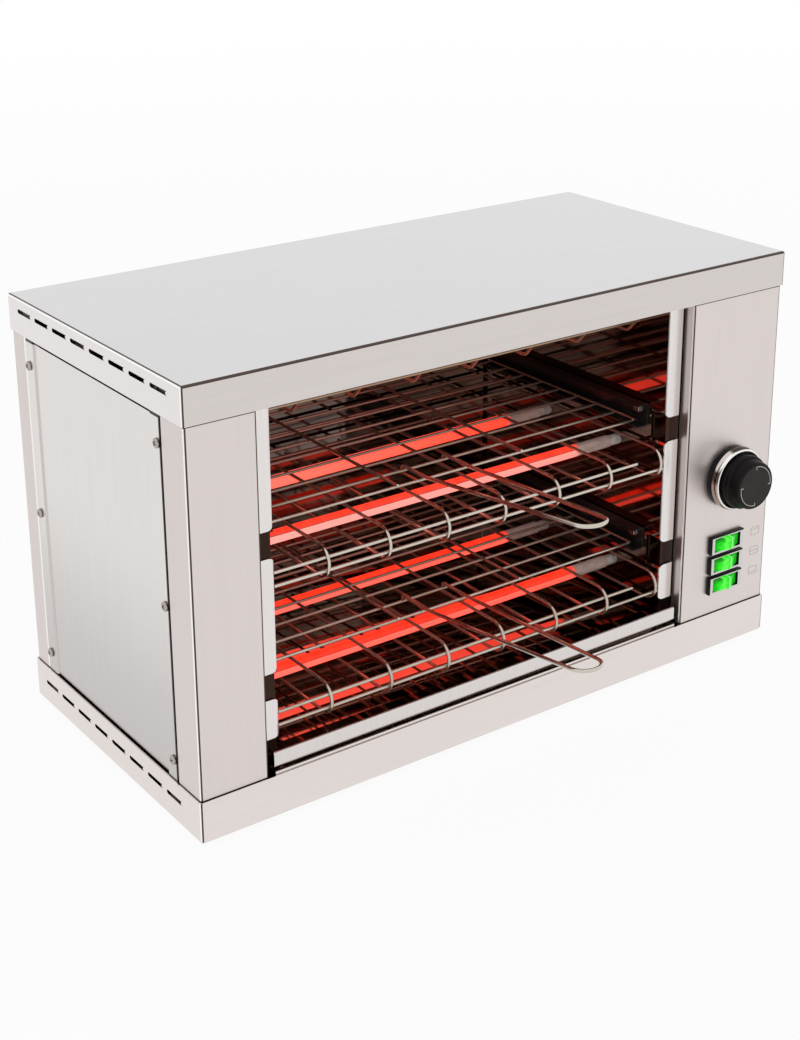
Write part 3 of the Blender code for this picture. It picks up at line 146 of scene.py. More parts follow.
class Patch:
    """A node tree, and the few sums that are made in it."""

    def __init__(self, tree: bpy.types.NodeTree) -> None:
        """Takes up a tree."""
        self.tree = tree

    def fill(self, socket: Socket, value: object) -> None:
        """Links an input to a pattern, or sets it to a plain value.

        Args:
            socket: The input.
            value: The pattern or the value.
        """
        if isinstance(value, Socket):
            self.tree.links.new(value, socket)
        elif socket.type == "RGBA":
            socket.default_value = (*value, 1.0)
        else:
            socket.default_value = value

    def node(self, kind: str, **inputs: object) -> bpy.types.Node:
        """Adds a node and fills its inputs; an underscore in a name stands for a space.

        Args:
            kind: The node's kind.
            **inputs: What each input gets.

        Returns:
            The node.
        """
        node = self.tree.nodes.new(f"ShaderNode{kind}")
        for name, value in inputs.items():
            self.fill(node.inputs[name.replace("_", " ")], value)
        return node

    def maths(self, operation: str, first: Socket, second: Socket | float = 0.0) -> Socket:
        """One sum on a value, with another value or a number.

        Args:
            operation: The sum.
            first: The value.
            second: The other value or the number.

        Returns:
            The result.
        """
        node = self.node("Math")
        node.operation = operation
        for socket, value in zip(node.inputs, (first, second)):
            self.fill(socket, value)
        return node.outputs["Value"]

    def ranged(
        self,
        source: Socket,
        start: float,
        end: float,
        low: float = 0.0,
        high: float = 1.0,
        smooth: bool = False,
    ) -> Socket:
        """Maps a value from one range to another.

        Args:
            source: The value.
            start: The source value that gives low.
            end: The source value that gives high.
            low: The first value given.
            high: The last value given.
            smooth: Whether the change eases in and out.

        Returns:
            The mapped value.
        """
        node = self.node(
            "MapRange", Value=source, From_Min=start, From_Max=end, To_Min=low, To_Max=high
        )
        node.interpolation_type = "SMOOTHSTEP" if smooth else "LINEAR"
        return node.outputs["Result"]

    def in_sight(self) -> Socket:
        """At least 1 for what is seen, also in reflections and through glass, and else 0.

        Returns:
            The value, before it is held to 1.
        """
        path = self.node("LightPath").outputs
        total = self.maths("ADD", path["Is Camera Ray"], path["Is Glossy Ray"])
        return self.maths("ADD", total, path["Is Transmission Ray"])


class Surface(Patch):
    """One procedural material, and the patterns that the finishes are mixed from."""

    def __init__(self, name: str) -> None:
        """Starts a material with one principled shader that reads Object coordinates.

        Args:
            name: The material's name.
        """
        self.material = bpy.data.materials.new(name)
        self.material.use_nodes = True
        super().__init__(self.material.node_tree)
        self.shader = self.tree.nodes["Principled BSDF"]
        self.place = self.node("TexCoord").outputs["Object"]

    def set(self, **inputs: object) -> None:
        """Fills the shader's inputs; an underscore in a name stands for a space."""
        for name, value in inputs.items():
            self.fill(self.shader.inputs[name.replace("_", " ")], value)

    def rough(self, pattern: Socket, low: float, high: float) -> None:
        """Lets a noise run the roughness from low to high."""
        self.set(Roughness=self.ranged(pattern, *NOISE_SPAN, low, high))

    def noise(
        self,
        scale: float | Triple,
        detail: float = 3,
        roughness: float = 0.55,
        shift: Triple = (0, 0, 0),
    ) -> Socket:
        """A noise with one scale, or with its own along each axis.

        Args:
            scale: Features per metre.
            detail: How many finer layers are added.
            roughness: How strong the finer layers are.
            shift: Where the pattern starts, in its own units.

        Returns:
            The noise's value, from 0 to 1.
        """
        scales = scale if isinstance(scale, tuple) else (scale,) * 3
        mapping = self.node("Mapping", Scale=scales, Location=shift, Vector=self.place)
        noise = self.node(
            "TexNoise",
            Scale=1,
            Detail=detail,
            Roughness=roughness,
            Vector=mapping.outputs["Vector"],
        )
        return noise.outputs["Fac"]

    def part(self, axis: Axis, source: Socket | None = None) -> Socket:
        """One component of the Object coordinates, or of another vector."""
        return self.node("SeparateXYZ", Vector=source or self.place).outputs[axis.name]

    def facing(self, output: str = "Normal") -> Socket:
        """The way that the surface faces; True Normal leaves smoothing out."""
        return self.node("NewGeometry").outputs[output]

    def ramp(self, source: Socket, *stops: Stop) -> Socket:
        """A colour that runs through the stops as the value goes from 0 to 1.

        Args:
            source: The value.
            *stops: Positions with their colours.

        Returns:
            The colour.
        """
        node = self.node("ValToRGB", Fac=source)
        elements = node.color_ramp.elements
        while len(elements) < len(stops):
            elements.new(0.5)
        for element, (position, colour) in zip(elements, stops):
            element.position = position
            element.color = (*colour, 1.0)
        return node.outputs["Color"]

    def mix(
        self,
        factor: Socket | float,
        first: Socket | Colour,
        second: Socket | Colour,
        blend: str = "MIX",
    ) -> Socket:
        """Mixes two colours by a factor.

        Args:
            factor: The share of the second colour.
            first: The first colour.
            second: The second colour.
            blend: How they are mixed.

        Returns:
            The mixed colour.
        """
        node = self.node("Mix")
        node.data_type = "RGBA"
        node.blend_type = blend
        for index, value in ((0, factor), (6, first), (7, second)):
            self.fill(node.inputs[index], value)
        return node.outputs[2]

    def bump(self, height: Socket, strength: float, distance: float) -> None:
        """Raises the surface by a pattern, a full step of which is a distance in metres.

        Args:
            height: The pattern, from 0 to 1.
            strength: How much of the effect shows.
            distance: The height of a full step, in metres.
        """
        node = self.node("Bump", Strength=strength, Distance=distance, Height=height)
        self.set(Normal=node.outputs["Normal"])


@dataclass(frozen=True)
class Finish:
    """What every finish has: a name, and the slot of the record that it stands for."""

    name: str
    slot: str

    def material(self) -> bpy.types.Material:
        """The finish as a material.

        Returns:
            The material.
        """
        surface = Surface(self.name)
        self.lay(surface)
        return surface.material

    def lay(self, surface: Surface) -> None:
        """Mixes the patterns of the finish on a surface."""
        raise NotImplementedError


@dataclass(frozen=True)
class BrushedSheet(Finish):
    """Satin stainless sheet: a fine grain, with painted fold lines, painted shade in its gaps and
    painted light by facing.
    """

    tint: Colour
    grain: Axis = Axis.X
    roughness: float = 0.20
    grain_length: float = 0.05
    grain_width: float = 0.00035
    grain_depth: float = 0.000003
    grain_shade: float = 0.965
    # Painted shade and painted highlight for the facets of each fold
    fold_painted_shade: Colour = (0.09, 0.065, 0.055)
    fold_painted_highlight: Colour = (0.97, 0.95, 0.93)
    # Where painted shade lies: beyond two heights, in a gap within a reach of depth, and before a
    # seam
    covered_above: float = 1.0
    covered_below: float = -1.0
    gap_above: float = 1.0
    gap_reach: tuple[float, float] = (0.0, 0.0)
    seam_before: float = -1.0
    soft: float = 0.0002
    # Colour of the painted shade
    cover: Colour = (0.02, 0.014, 0.012)
    # Painted light: tone shares for faces towards the front and the ends, and a darker painted
    # reflection low down
    front_painted_light: Colour = WHITE
    end_painted_light: Colour = WHITE
    low_painted_reflection: Colour = WHITE
    low_reflection_reach: tuple[float, float] = (0.04, 0.16)

    def lay(self, surface: Surface) -> None:
        """Draws the grain, and paints light and shade over it.

        Args:
            surface: The material that takes the finish.
        """
        along, across = 1 / self.grain_length, 1 / self.grain_width
        fine = surface.noise(self.scales(along, across), detail=2)
        wide = self.scales(along / 2, across / 12)
        broad = surface.noise(wide, detail=2, shift=(3.1, 1.7, 5.3))
        streaks = surface.maths("ADD", fine, broad)
        shade = dimmed(self.tint, self.grain_shade)
        colour = surface.mix(surface.ranged(streaks, 0.6, 1.4), shade, self.tint)
        # Painted light by facing and low down, then the painted fold lines
        colour = self.painted_fold_lines(surface, self.painted_facing_light(surface, colour))
        ripple = surface.ranged(streaks, 0.6, 1.4, self.roughness + 0.02, self.roughness - 0.02)
        cloud = surface.noise(5, detail=2, shift=(1.3, 4.1, 2.2))
        drift = surface.ranged(cloud, *NOISE_SPAN, -0.015, 0.015)
        # The painted shade goes over the colour last
        surface.set(
            Base_Color=surface.mix(self.shaded(surface), colour, self.cover),
            Roughness=surface.maths("ADD", ripple, drift),
            Metallic=1.0,
        )
        surface.bump(streaks, 0.2, self.grain_depth)

    def scales(self, along: float, across: float) -> Triple:
        """The scale of a noise on each axis, from those along and across the grain."""
        return tuple(along if share else across for share in self.grain.value)

    def painted_facing_light(self, surface: Surface, colour: Socket) -> Socket:
        """The colour with painted light: a tone for faces towards the front and towards the ends,
        and a darker painted reflection low down.

        Args:
            surface: The material.
            colour: The sheet's own colour.

        Returns:
            The colour with the painted light.
        """
        normal = surface.facing("True Normal")
        share = WHITE
        for axis, tone in ((Axis.Y, self.front_painted_light), (Axis.X, self.end_painted_light)):
            slant = surface.maths("ABSOLUTE", surface.part(axis, normal))
            share = surface.mix(surface.ranged(slant, 0.9, 0.95), share, tone)
        low, high = self.low_reflection_reach
        depth = surface.ranged(surface.part(Axis.Z), high, low, smooth=True)
        share = surface.mix(depth, share, surface.mix(1.0, share, self.low_painted_reflection, "MULTIPLY"))
        return surface.mix(1.0, colour, share, "MULTIPLY")

    def painted_fold_lines(self, surface: Surface, colour: Socket) -> Socket:
        """The colour with a painted shade line and a painted highlight line along each fold.

        Args:
            surface: The material.
            colour: The sheet's colour with its painted facing light.

        Returns:
            The colour with the painted lines.
        """
        normal = surface.facing("True Normal")
        side, front, rise = (
            surface.maths("ABSOLUTE", surface.part(axis, normal)) for axis in Axis
        )
        largest = surface.maths("MAXIMUM", surface.maths("MAXIMUM", side, front), rise)
        upward = surface.ranged(surface.part(Axis.Z, normal), -0.3, -0.2)
        # Bend facets get painted light: a highlight on facets facing more towards the ends, a
        # shade line on the others
        bent = surface.maths("MULTIPLY", surface.ranged(largest, 0.965, 0.935), upward)
        line = surface.mix(surface.ranged(side, 0.6, 0.7), self.fold_painted_shade, self.fold_painted_highlight)
        return surface.mix(bent, colour, line)

    def shaded(self, surface: Surface) -> Socket:
        """How much painted shade a spot gets, from 0 to 1: under the lid's edge, behind the base's
        rim, in a gap and before a seam.

        Args:
            surface: The material.

        Returns:
            The share of painted shade.
        """
        height, depth = surface.part(Axis.Z), surface.part(Axis.Y)
        start, end = self.gap_reach
        above = surface.ranged(height, self.covered_above - self.soft, self.covered_above)
        below = surface.ranged(height, self.covered_below + self.soft, self.covered_below)
        seam = surface.ranged(depth, self.seam_before + self.soft, self.seam_before)
        gap = surface.ranged(height, self.gap_above - self.soft, self.gap_above)
        after = surface.ranged(depth, start, start + self.soft)
        before = surface.ranged(depth, end, end - self.soft)
        gap = surface.maths("MULTIPLY", gap, surface.maths("MULTIPLY", after, before))
        shade = above
        for other in (below, seam, gap):
            shade = surface.maths("MAXIMUM", shade, other)
        return shade


@dataclass(frozen=True)
class PolishedSheet(Finish):
    """Mirror sheet that heat has browned, left pale on what stands in front of the heat."""

    tint: Colour = (0.31, 0.23, 0.195)
    stain: Colour = (0.15, 0.105, 0.09)
    roughness: float = 0.03
    pale: Colour = (0.72, 0.68, 0.66)
    pale_before: float = -1.0
    pale_roughness: float = 0.24

    def lay(self, surface: Surface) -> None:
        """Spreads the stains, and the pale front before its line.

        Args:
            surface: The material that takes the finish.
        """
        stains = surface.noise((9, 13, 8), detail=2, roughness=0.45)
        stained = surface.ranged(stains, 0.35, 0.68, smooth=True)
        browned = surface.mix(stained, self.tint, self.stain)
        front = surface.ranged(surface.part(Axis.Y), self.pale_before + 0.0002, self.pale_before)
        grain = surface.ranged(surface.noise((900, 900, 25), detail=2), *NOISE_SPAN)
        pale = surface.mix(grain, dimmed(self.pale, 0.96), self.pale)
        smears = surface.noise((60, 18, 90), detail=4, shift=(2.0, 7.0, 1.0))
        polish = surface.ranged(smears, 0.3, 0.75, self.roughness, self.roughness + 0.05)
        satin = surface.maths("MULTIPLY", front, self.pale_roughness)
        surface.set(
            Base_Color=surface.mix(front, browned, pale),
            Roughness=surface.maths("MAXIMUM", polish, satin),
            Metallic=1.0,
        )
        surface.bump(surface.noise((9, 13, 10), detail=1), 0.2, 0.0010)


@dataclass(frozen=True)
class TemperedWire(Finish):
    """Bright steel wire, cream at the cool front and browned towards the back."""

    bright: Colour = (0.60, 0.55, 0.48)
    warmed: Colour = (0.45, 0.37, 0.30)
    browned: Colour = (0.31, 0.23, 0.18)
    roughness: float = 0.13
    scale: float = 0.45
    cool_until: float = -0.050
    hot_from: float = 0.030

    def lay(self, surface: Surface) -> None:
        """Runs the temper colours from front to back.

        Args:
            surface: The material that takes the finish.
        """
        patches = surface.ranged(surface.noise(45), 0.2, 0.8, -0.018, 0.018)
        depth = surface.maths("ADD", surface.part(Axis.Y), patches)
        heat = surface.ranged(depth, self.cool_until, self.hot_from, smooth=True)
        temper = ((0.0, self.bright), (0.45, self.warmed), (1.0, self.browned))
        surface.set(
            Base_Color=surface.ramp(heat, *temper),
            Metallic=surface.ranged(heat, 0.0, 1.0, 1.0, 1.0 - self.scale),
        )
        draw = surface.noise((300, 900, 900), shift=(0.3, 0.8, 0.1))
        surface.rough(draw, self.roughness - 0.04, self.roughness + 0.08)
        surface.bump(draw, 0.15, 0.00003)


@dataclass(frozen=True)
class Turned(Finish):
    """What turned metal shares: the fine marks that the lathe leaves."""

    def mark(self, surface: Surface) -> None:
        """Cuts the marks into the surface."""
        marks = surface.noise((250, 4200, 250), detail=2, shift=(0.7, 0.1, 0.9))
        surface.bump(marks, 0.15, 0.00002)


@dataclass(frozen=True)
class Plated(Turned):
    """Bright plating with fine turning marks and faint smears."""

    tint: Colour = (0.82, 0.81, 0.80)
    roughness: float = 0.07

    def lay(self, surface: Surface) -> None:
        """Smears the plating a little.

        Args:
            surface: The material that takes the finish.
        """
        smears = surface.noise(160, detail=4)
        dull = surface.ranged(smears, 0.35, 0.75)
        surface.set(Base_Color=surface.mix(dull, self.tint, dimmed(self.tint, 0.9)), Metallic=1.0)
        surface.rough(smears, self.roughness, self.roughness + 0.08)
        self.mark(surface)


@dataclass(frozen=True)
class TurnedRing(Turned):
    """Bright turned plating with a painted reflection: beige and dark over its left and on its
    crown.
    """

    bright: Colour = (0.90, 0.88, 0.86)
    beige: Colour = (0.42, 0.33, 0.29)
    dark: Colour = (0.09, 0.065, 0.055)
    roughness: float = 0.12

    def lay(self, surface: Surface) -> None:
        """Lays the painted reflection over the left of the ring and its crown.

        Args:
            surface: The material that takes the finish.
        """
        normal = surface.facing()
        side, front, rise = (surface.part(axis, normal) for axis in Axis)
        wobble = surface.noise(120, detail=2)
        uneven = surface.ranged(wobble, *NOISE_SPAN, -0.04, 0.04)
        height = surface.maths("ADD", rise, uneven)
        # Painted reflection of the dark surroundings, set by which way the surface faces
        band = surface.ramp(
            surface.ranged(height, -1.0, 1.0),
            (0.0, self.bright),
            (0.22, self.beige),
            (0.50, self.beige),
            (0.58, self.dark),
            (0.70, self.dark),
            (0.76, self.bright),
            (1.0, self.bright),
        )
        left = surface.ranged(side, -0.25, -0.40, smooth=True)
        crown = surface.ranged(height, 0.80, 0.90, smooth=True)
        colour = surface.mix(left, surface.mix(crown, self.bright, self.dark), band)
        edge = surface.ranged(surface.maths("ABSOLUTE", front), 0.60, 0.75)
        surface.set(Base_Color=surface.mix(edge, colour, self.bright), Metallic=1.0)
        surface.rough(wobble, self.roughness, self.roughness + 0.06)
        self.mark(surface)


@dataclass(frozen=True)
class DarkSteel(Finish):
    """Blackened steel of the rails, scratched bright where the racks slide."""

    tint: Colour = (0.022, 0.024, 0.024)
    worn: Colour = (0.12, 0.115, 0.11)
    roughness: float = 0.34

    def lay(self, surface: Surface) -> None:
        """Scratches the blackening through in patches.

        Args:
            surface: The material that takes the finish.
        """
        scratches = surface.noise((700, 12, 700), detail=4)
        patches = surface.noise(30, shift=(4.0, 2.0, 1.0))
        wear = surface.ranged(surface.maths("MULTIPLY", scratches, patches), 0.28, 0.42)
        surface.set(Base_Color=surface.mix(wear, self.tint, self.worn), Metallic=0.6)
        surface.rough(patches, self.roughness - 0.08, self.roughness + 0.1)
        surface.bump(scratches, 0.3, 0.00004)


@dataclass(frozen=True)
class GlowingQuartz(Finish):
    """A lit quartz tube: red above, its coated underside paler, and clear unlit ends."""

    red: Colour = (1.6, 0.070, 0.035)
    ember: Colour = (1.1, 0.045, 0.020)
    pale: Colour = (1.3, 0.42, 0.36)
    pale_end: Colour = (1.3, 0.34, 0.28)
    line: Colour = (0.05, 0.004, 0.002)
    cold: Colour = (0.62, 0.50, 0.44)
    scaled: Colour = (0.36, 0.27, 0.23)
    spill: Colour = (0.060, 0.038, 0.034)
    sooted: Colour = (0.01, 0.002, 0.001)
    lit_from: float = -0.171
    lit_until: float = 0.100
    fade: float = 0.007
    seam: float = 0.50
    seam_width: float = 0.10

    def lay(self, surface: Surface) -> None:
        """Lights the tube between its ends, on each side of the coating's seam.

        Args:
            surface: The material that takes the finish.
        """
        upward = surface.part(Axis.Z, surface.facing())
        wobble = surface.ranged(surface.noise((30, 200, 200), detail=2), 0.2, 0.8, -0.05, 0.05)
        height = surface.maths("ADD", upward, wobble)
        coil = surface.noise((120, 30, 30), detail=4, shift=(0.2, 0.4, 0.6))
        upper = surface.mix(surface.ranged(coil, 0.35, 0.7), self.red, self.ember)
        is_upper, is_lower = (
            surface.ranged(height, self.seam, self.seam + width)
            for width in (self.seam_width, -self.seam_width)
        )
        along = surface.part(Axis.X)
        way = surface.ranged(along, self.lit_from, self.lit_until)
        lower = surface.mix(way, self.pale, self.pale_end)
        glow = surface.mix(is_lower, surface.mix(is_upper, self.line, upper), lower)
        start = surface.ranged(along, self.lit_from, self.lit_from + self.fade, smooth=True)
        end = surface.ranged(along, self.lit_until + self.fade, self.lit_until, smooth=True)
        lit = surface.maths("MULTIPLY", start, end)
        specks = surface.noise((90, 300, 300), detail=4, shift=(0.9, 0.5, 0.3))
        unlit = surface.mix(surface.ranged(specks, *NOISE_SPAN), self.cold, self.scaled)
        surface.set(
            Emission_Color=surface.mix(lit, self.spill, glow),
            Emission_Strength=1.0,
            Base_Color=surface.mix(lit, unlit, self.sooted),
            Specular_IOR_Level=0.2,
        )
        surface.rough(specks, 0.12, 0.3)
        surface.bump(specks, 0.2, 0.00008)


@dataclass(frozen=True)
class Fired(Finish):
    """White ceramic, matt and slightly sooty."""

    tint: Colour = (0.72, 0.69, 0.66)
    soot: Colour = (0.36, 0.30, 0.27)

    def lay(self, surface: Surface) -> None:
        """Spots the ceramic with soot.

        Args:
            surface: The material that takes the finish.
        """
        spots = surface.noise(260, detail=5)
        sooty = surface.ranged(spots, 0.42, 0.72)
        surface.set(Base_Color=surface.mix(sooty, self.tint, self.soot))
        surface.rough(spots, 0.45, 0.7)
        surface.bump(spots, 0.3, 0.00008)


@dataclass(frozen=True)
class Moulded(Finish):
    """Moulded plastic or rubber with a fine spark grain."""

    tint: Colour = (0.008, 0.007, 0.007)
    roughness: float = 0.34
    grain: float = 0.00025
    grain_depth: float = 0.00003
    specular: float = 0.5

    def lay(self, surface: Surface) -> None:
        """Dusts the moulding and grains it.

        Args:
            surface: The material that takes the finish.
        """
        dust = surface.noise(90, detail=4, shift=(3.0, 1.0, 2.0))
        lighter = tuple(min(value * 1.4 + 0.003, 1.0) for value in self.tint)
        dusty = surface.ranged(dust, 0.4, 0.75)
        surface.set(
            Base_Color=surface.mix(dusty, self.tint, lighter), Specular_IOR_Level=self.specular
        )
        surface.rough(dust, self.roughness - 0.05, self.roughness + 0.09)
        surface.bump(surface.noise(1 / self.grain, detail=2), 0.35, self.grain_depth)


@dataclass(frozen=True)
class LitLens(Finish):
    """Clear green moulding with a lamp behind it, brighter over the lamp, with a painted highlight
    along its ridge and a painted shadow at its upper left.
    """

    glow: Colour = (0.008, 0.74, 0.003)
    hot: Colour = (0.13, 0.96, 0.09)
    dim: Colour = (0.003, 0.36, 0.003)
    shadow: Colour = (0.002, 0.17, 0.002)
    ridge_highlight: Colour = (0.26, 1.0, 0.22)
    body: Colour = (0.01, 0.20, 0.01)
    centre: float = 0.2020
    reach: float = 0.0095
    ridge: float = 0.2072
    ridge_reach: float = 0.0013
    lowest: float = 0.0503
    pitch: float = 0.0165

    def lay(self, surface: Surface) -> None:
        """Spreads the lamp's light, with a painted shadow at the upper left and a painted
        highlight along the ridge.

        Args:
            surface: The material that takes the finish.
        """
        across = surface.part(Axis.X)
        cells = surface.noise(420)
        offset, ridge_highlight = (
            surface.maths("ABSOLUTE", surface.maths("SUBTRACT", across, middle))
            for middle in (self.centre, self.ridge)
        )
        uneven = surface.ranged(cells, 0.25, 0.75, -0.003, 0.003)
        spread = surface.maths("ADD", offset, uneven)
        near = surface.ranged(spread, self.reach, 0.0, smooth=True)
        stops = ((0.0, self.dim), (0.3, self.glow), (0.7, self.glow), (1.0, self.hot))
        colour = surface.ramp(near, *stops)
        highest = self.lowest + self.pitch * 3
        height = surface.ranged(surface.part(Axis.Z), self.lowest, highest, 0.0, 3.0)
        upper = surface.ranged(surface.maths("FRACT", height), 0.55, 0.78, smooth=True)
        left = surface.ranged(across, self.centre, self.centre - 0.003)
        # Painted shadow at the upper left of each lens
        colour = surface.mix(surface.maths("MULTIPLY", upper, left), colour, self.shadow)
        # Painted highlight along the ridge
        raised = surface.ranged(ridge_highlight, self.ridge_reach, 0.0, smooth=True)
        surface.set(
            Emission_Color=surface.mix(raised, colour, self.ridge_highlight),
            Emission_Strength=0.9,
            Base_Color=self.body,
            Specular_IOR_Level=0.15,
        )
        surface.rough(cells, 0.08, 0.2)
        surface.bump(cells, 0.2, 0.0001)


# Heights beyond which the uprights and covers are painted dark as shade, under the lid and behind
# the base's rim
COVERED = {"covered_above": 0.2835, "covered_below": 0.0351}

FINISHES = (
    # One steel, tinted for each group of sheets as painted light; the lid's shares paint its front
    # darker and its ends lighter
    BrushedSheet(
        "satin_lid",
        "casing_steel",
        (0.67, 0.66, 0.672),
        front_painted_light=(1.012, 0.955, 0.909),
        end_painted_light=(1.205, 1.178, 1.145),
    ),
    BrushedSheet("satin_base", "casing_steel", (0.78, 0.715, 0.69)),
    BrushedSheet(
        "satin_upright",
        "casing_steel",
        (0.74, 0.675, 0.655),
        grain=Axis.Z,
        roughness=0.42,
        **COVERED,
    ),
    # Painted shade in the gap at the top and along the front seam, a dimmer painted fold
    # highlight, and a darker painted reflection low down
    BrushedSheet(
        "satin_cover",
        "casing_steel",
        (0.76, 0.73, 0.715),
        grain=Axis.Z,
        gap_above=0.2815,
        gap_reach=(-0.040, 0.158),
        seam_before=-0.0277,
        fold_painted_highlight=(0.60, 0.55, 0.525),
        low_painted_reflection=(0.74, 0.73, 0.73),
        low_reflection_reach=(0.04, 0.20),
        **COVERED,
    ),
    BrushedSheet("switch_silver", "chrome", (0.66, 0.645, 0.635), roughness=0.3),
    PolishedSheet("heated_mirror", "polished_steel"),
    PolishedSheet(
        "back_mirror", "polished_steel", tint=(0.20, 0.145, 0.12), stain=(0.10, 0.07, 0.06)
    ),
    PolishedSheet(
        "scorched_sheet",
        "polished_steel",
        tint=(0.050, 0.027, 0.020),
        stain=(0.030, 0.016, 0.012),
        roughness=0.12,
    ),
    PolishedSheet(
        "liner_steel", "polished_steel", pale=(0.80, 0.76, 0.745), pale_before=-0.0485
    ),
    PolishedSheet(
        "crumb_mirror", "polished_steel", tint=(0.50, 0.38, 0.32), stain=(0.32, 0.24, 0.20)
    ),
    PolishedSheet("tray_steel", "polished_steel", pale_before=-0.0560),
    TemperedWire("tempered_wire", "wire_steel"),
    TemperedWire("low_wire", "wire_steel", cool_until=-0.085),
    TemperedWire(
        "scorched_wire",
        "wire_steel",
        bright=(0.46, 0.36, 0.27),
        warmed=(0.44, 0.29, 0.19),
        browned=(0.40, 0.25, 0.16),
        cool_until=-0.070,
        scale=0.7,
    ),
    Plated("bright_plating", "chrome"),
    Plated("dull_screw", "chrome", tint=(0.44, 0.40, 0.37), roughness=0.18),
    Plated("dull_bolt", "chrome", tint=(0.30, 0.28, 0.26), roughness=0.22),
    TurnedRing("ring_plating", "chrome"),
    DarkSteel("blackened_rail", "rail_steel"),
    GlowingQuartz("quartz_bright", "quartz"),
    GlowingQuartz(
        "quartz_even",
        "quartz",
        red=(1.8, 0.24, 0.17),
        ember=(1.8, 0.20, 0.14),
        pale=(1.8, 0.24, 0.17),
        pale_end=(1.8, 0.075, 0.035),
        seam=1.2,
    ),
    GlowingQuartz(
        "quartz_deep",
        "quartz",
        red=(1.6, 0.050, 0.020),
        ember=(1.1, 0.035, 0.012),
        pale=(1.9, 0.19, 0.14),
        pale_end=(1.9, 0.14, 0.09),
        seam=0.38,
    ),
    Fired("tube_ceramic", "quartz"),
    Moulded("black_moulding", "black_plastic", specular=0.10),
    Moulded(
        "knob_cap",
        "black_plastic",
        tint=(0.024, 0.0185, 0.0175),
        roughness=0.42,
        specular=0.14,
    ),
    Moulded("pale_moulding", "black_plastic", tint=(0.62, 0.61, 0.58), roughness=0.5),
    Moulded("white_marking", "black_plastic", tint=(0.62, 0.60, 0.58), roughness=0.5),
    Moulded("grey_marking", "black_plastic", tint=(0.42, 0.39, 0.39), roughness=0.5),
    Moulded(
        "foot_rubber", "rubber", tint=(0.018, 0.018, 0.018), roughness=0.72, grain=0.0006
    ),
    LitLens("green_lens", "green_lens"),
)


# Tools of the bench


def deselect_all() -> None:
    """Clears the selection, which an operator would act on."""
    bpy.ops.object.select_all(action="DESELECT")


def take_up(item: Item) -> None:
    """Makes one object the only selected and the active one.

    Args:
        item: The object.
    """
    deselect_all()
    item.select_set(True)
    bpy.context.view_layer.objects.active = item


def settle_place() -> None:
    """Moves the active object's place, turn and scale into its mesh."""
    bpy.ops.object.transform_apply(location=True, rotation=True, scale=True)


def opened(item: Item) -> Item:
    """Takes a piece up in edit mode, with all of it selected.

    Args:
        item: The piece.

    Returns:
        The piece.
    """
    take_up(item)
    bpy.ops.object.mode_set(mode="EDIT")
    bpy.ops.mesh.select_all(action="SELECT")
    return item


def pick(item: Item, kind: str, wanted: Test) -> None:
    """Selects the faces or edges that a test accepts, in edit mode.

    Args:
        item: The piece.
        kind: FACE to test each face's middle and normal, EDGE to test an edge's two ends.
        wanted: The test.
    """
    bpy.ops.mesh.select_mode(type=kind)
    bpy.ops.mesh.select_all(action="DESELECT")
    mesh = bmesh.from_edit_mesh(item.data)
    place = item.matrix_world
    if kind == "FACE":
        for face in mesh.faces:
            normal = (place.to_3x3() @ face.normal).normalized()
            face.select_set(wanted(place @ face.calc_center_median(), normal))
    else:
        for edge in mesh.edges:
            edge.select_set(wanted(*(place @ vert.co for vert in edge.verts)))
    bmesh.update_edit_mesh(item.data)


def extrude(step: Sequence[float]) -> None:
    """Extrudes what is selected by a step."""
    bpy.ops.mesh.extrude_region_move(TRANSFORM_OT_translate={"value": step})


def sealed(item: Item) -> Item:
    """Merges doubles, closes open ends, turns faces outwards and leaves edit mode.

    Args:
        item: The piece.

    Returns:
        The piece.
    """
    bpy.ops.mesh.select_mode(type="VERT")
    bpy.ops.mesh.select_all(action="SELECT")
    bpy.ops.mesh.remove_doubles(threshold=MERGE_DISTANCE)
    bpy.ops.mesh.fill_holes(sides=0)
    bpy.ops.mesh.normals_make_consistent(inside=False)
    bpy.ops.object.mode_set(mode="OBJECT")
    return item


def modified(item: Item, kind: str, **settings: object) -> Item:
    """Adds a modifier with its settings and applies it at once.

    Args:
        item: The piece.
        kind: The modifier's kind.
        **settings: Its settings by name.

    Returns:
        The piece.
    """
    take_up(item)
    modifier = item.modifiers.new(kind.lower(), kind)
    for name, value in settings.items():
        setattr(modifier, name, value)
    bpy.ops.object.modifier_apply(modifier=modifier.name)
    return item


def bevelled(item: Item, width: float, segments: int = 2, angle: float = BEVEL_ANGLE) -> Item:
    """Rounds the edges of a piece that are sharper than an angle.

    Args:
        item: The piece.
        width: The width of the round.
        segments: How many strips it has.
        angle: The angle.

    Returns:
        The piece.
    """
    return modified(
        item,
        "BEVEL",
        width=width,
        segments=segments,
        limit_method="ANGLE",
        angle_limit=angle,
    )


def combined(item: Item, tool: Item, operation: str = "DIFFERENCE") -> Item:
    """Cuts a tool out of a piece, or adds it, and removes the tool.

    Args:
        item: The piece.
        tool: The tool.
        operation: DIFFERENCE to cut, UNION to add.

    Returns:
        The piece.
    """
    modified(item, "BOOLEAN", operation=operation, solver="EXACT", object=tool)
    bpy.data.objects.remove(tool, do_unlink=True)
    return item


def joined(items: Sequence[Item]) -> Item:
    """Joins pieces into the first of them.

    Args:
        items: The pieces, two or more.

    Returns:
        The first piece.
    """
    take_up(items[0])
    for item in items:
        item.select_set(True)
    bpy.ops.object.join()
    return items[0]


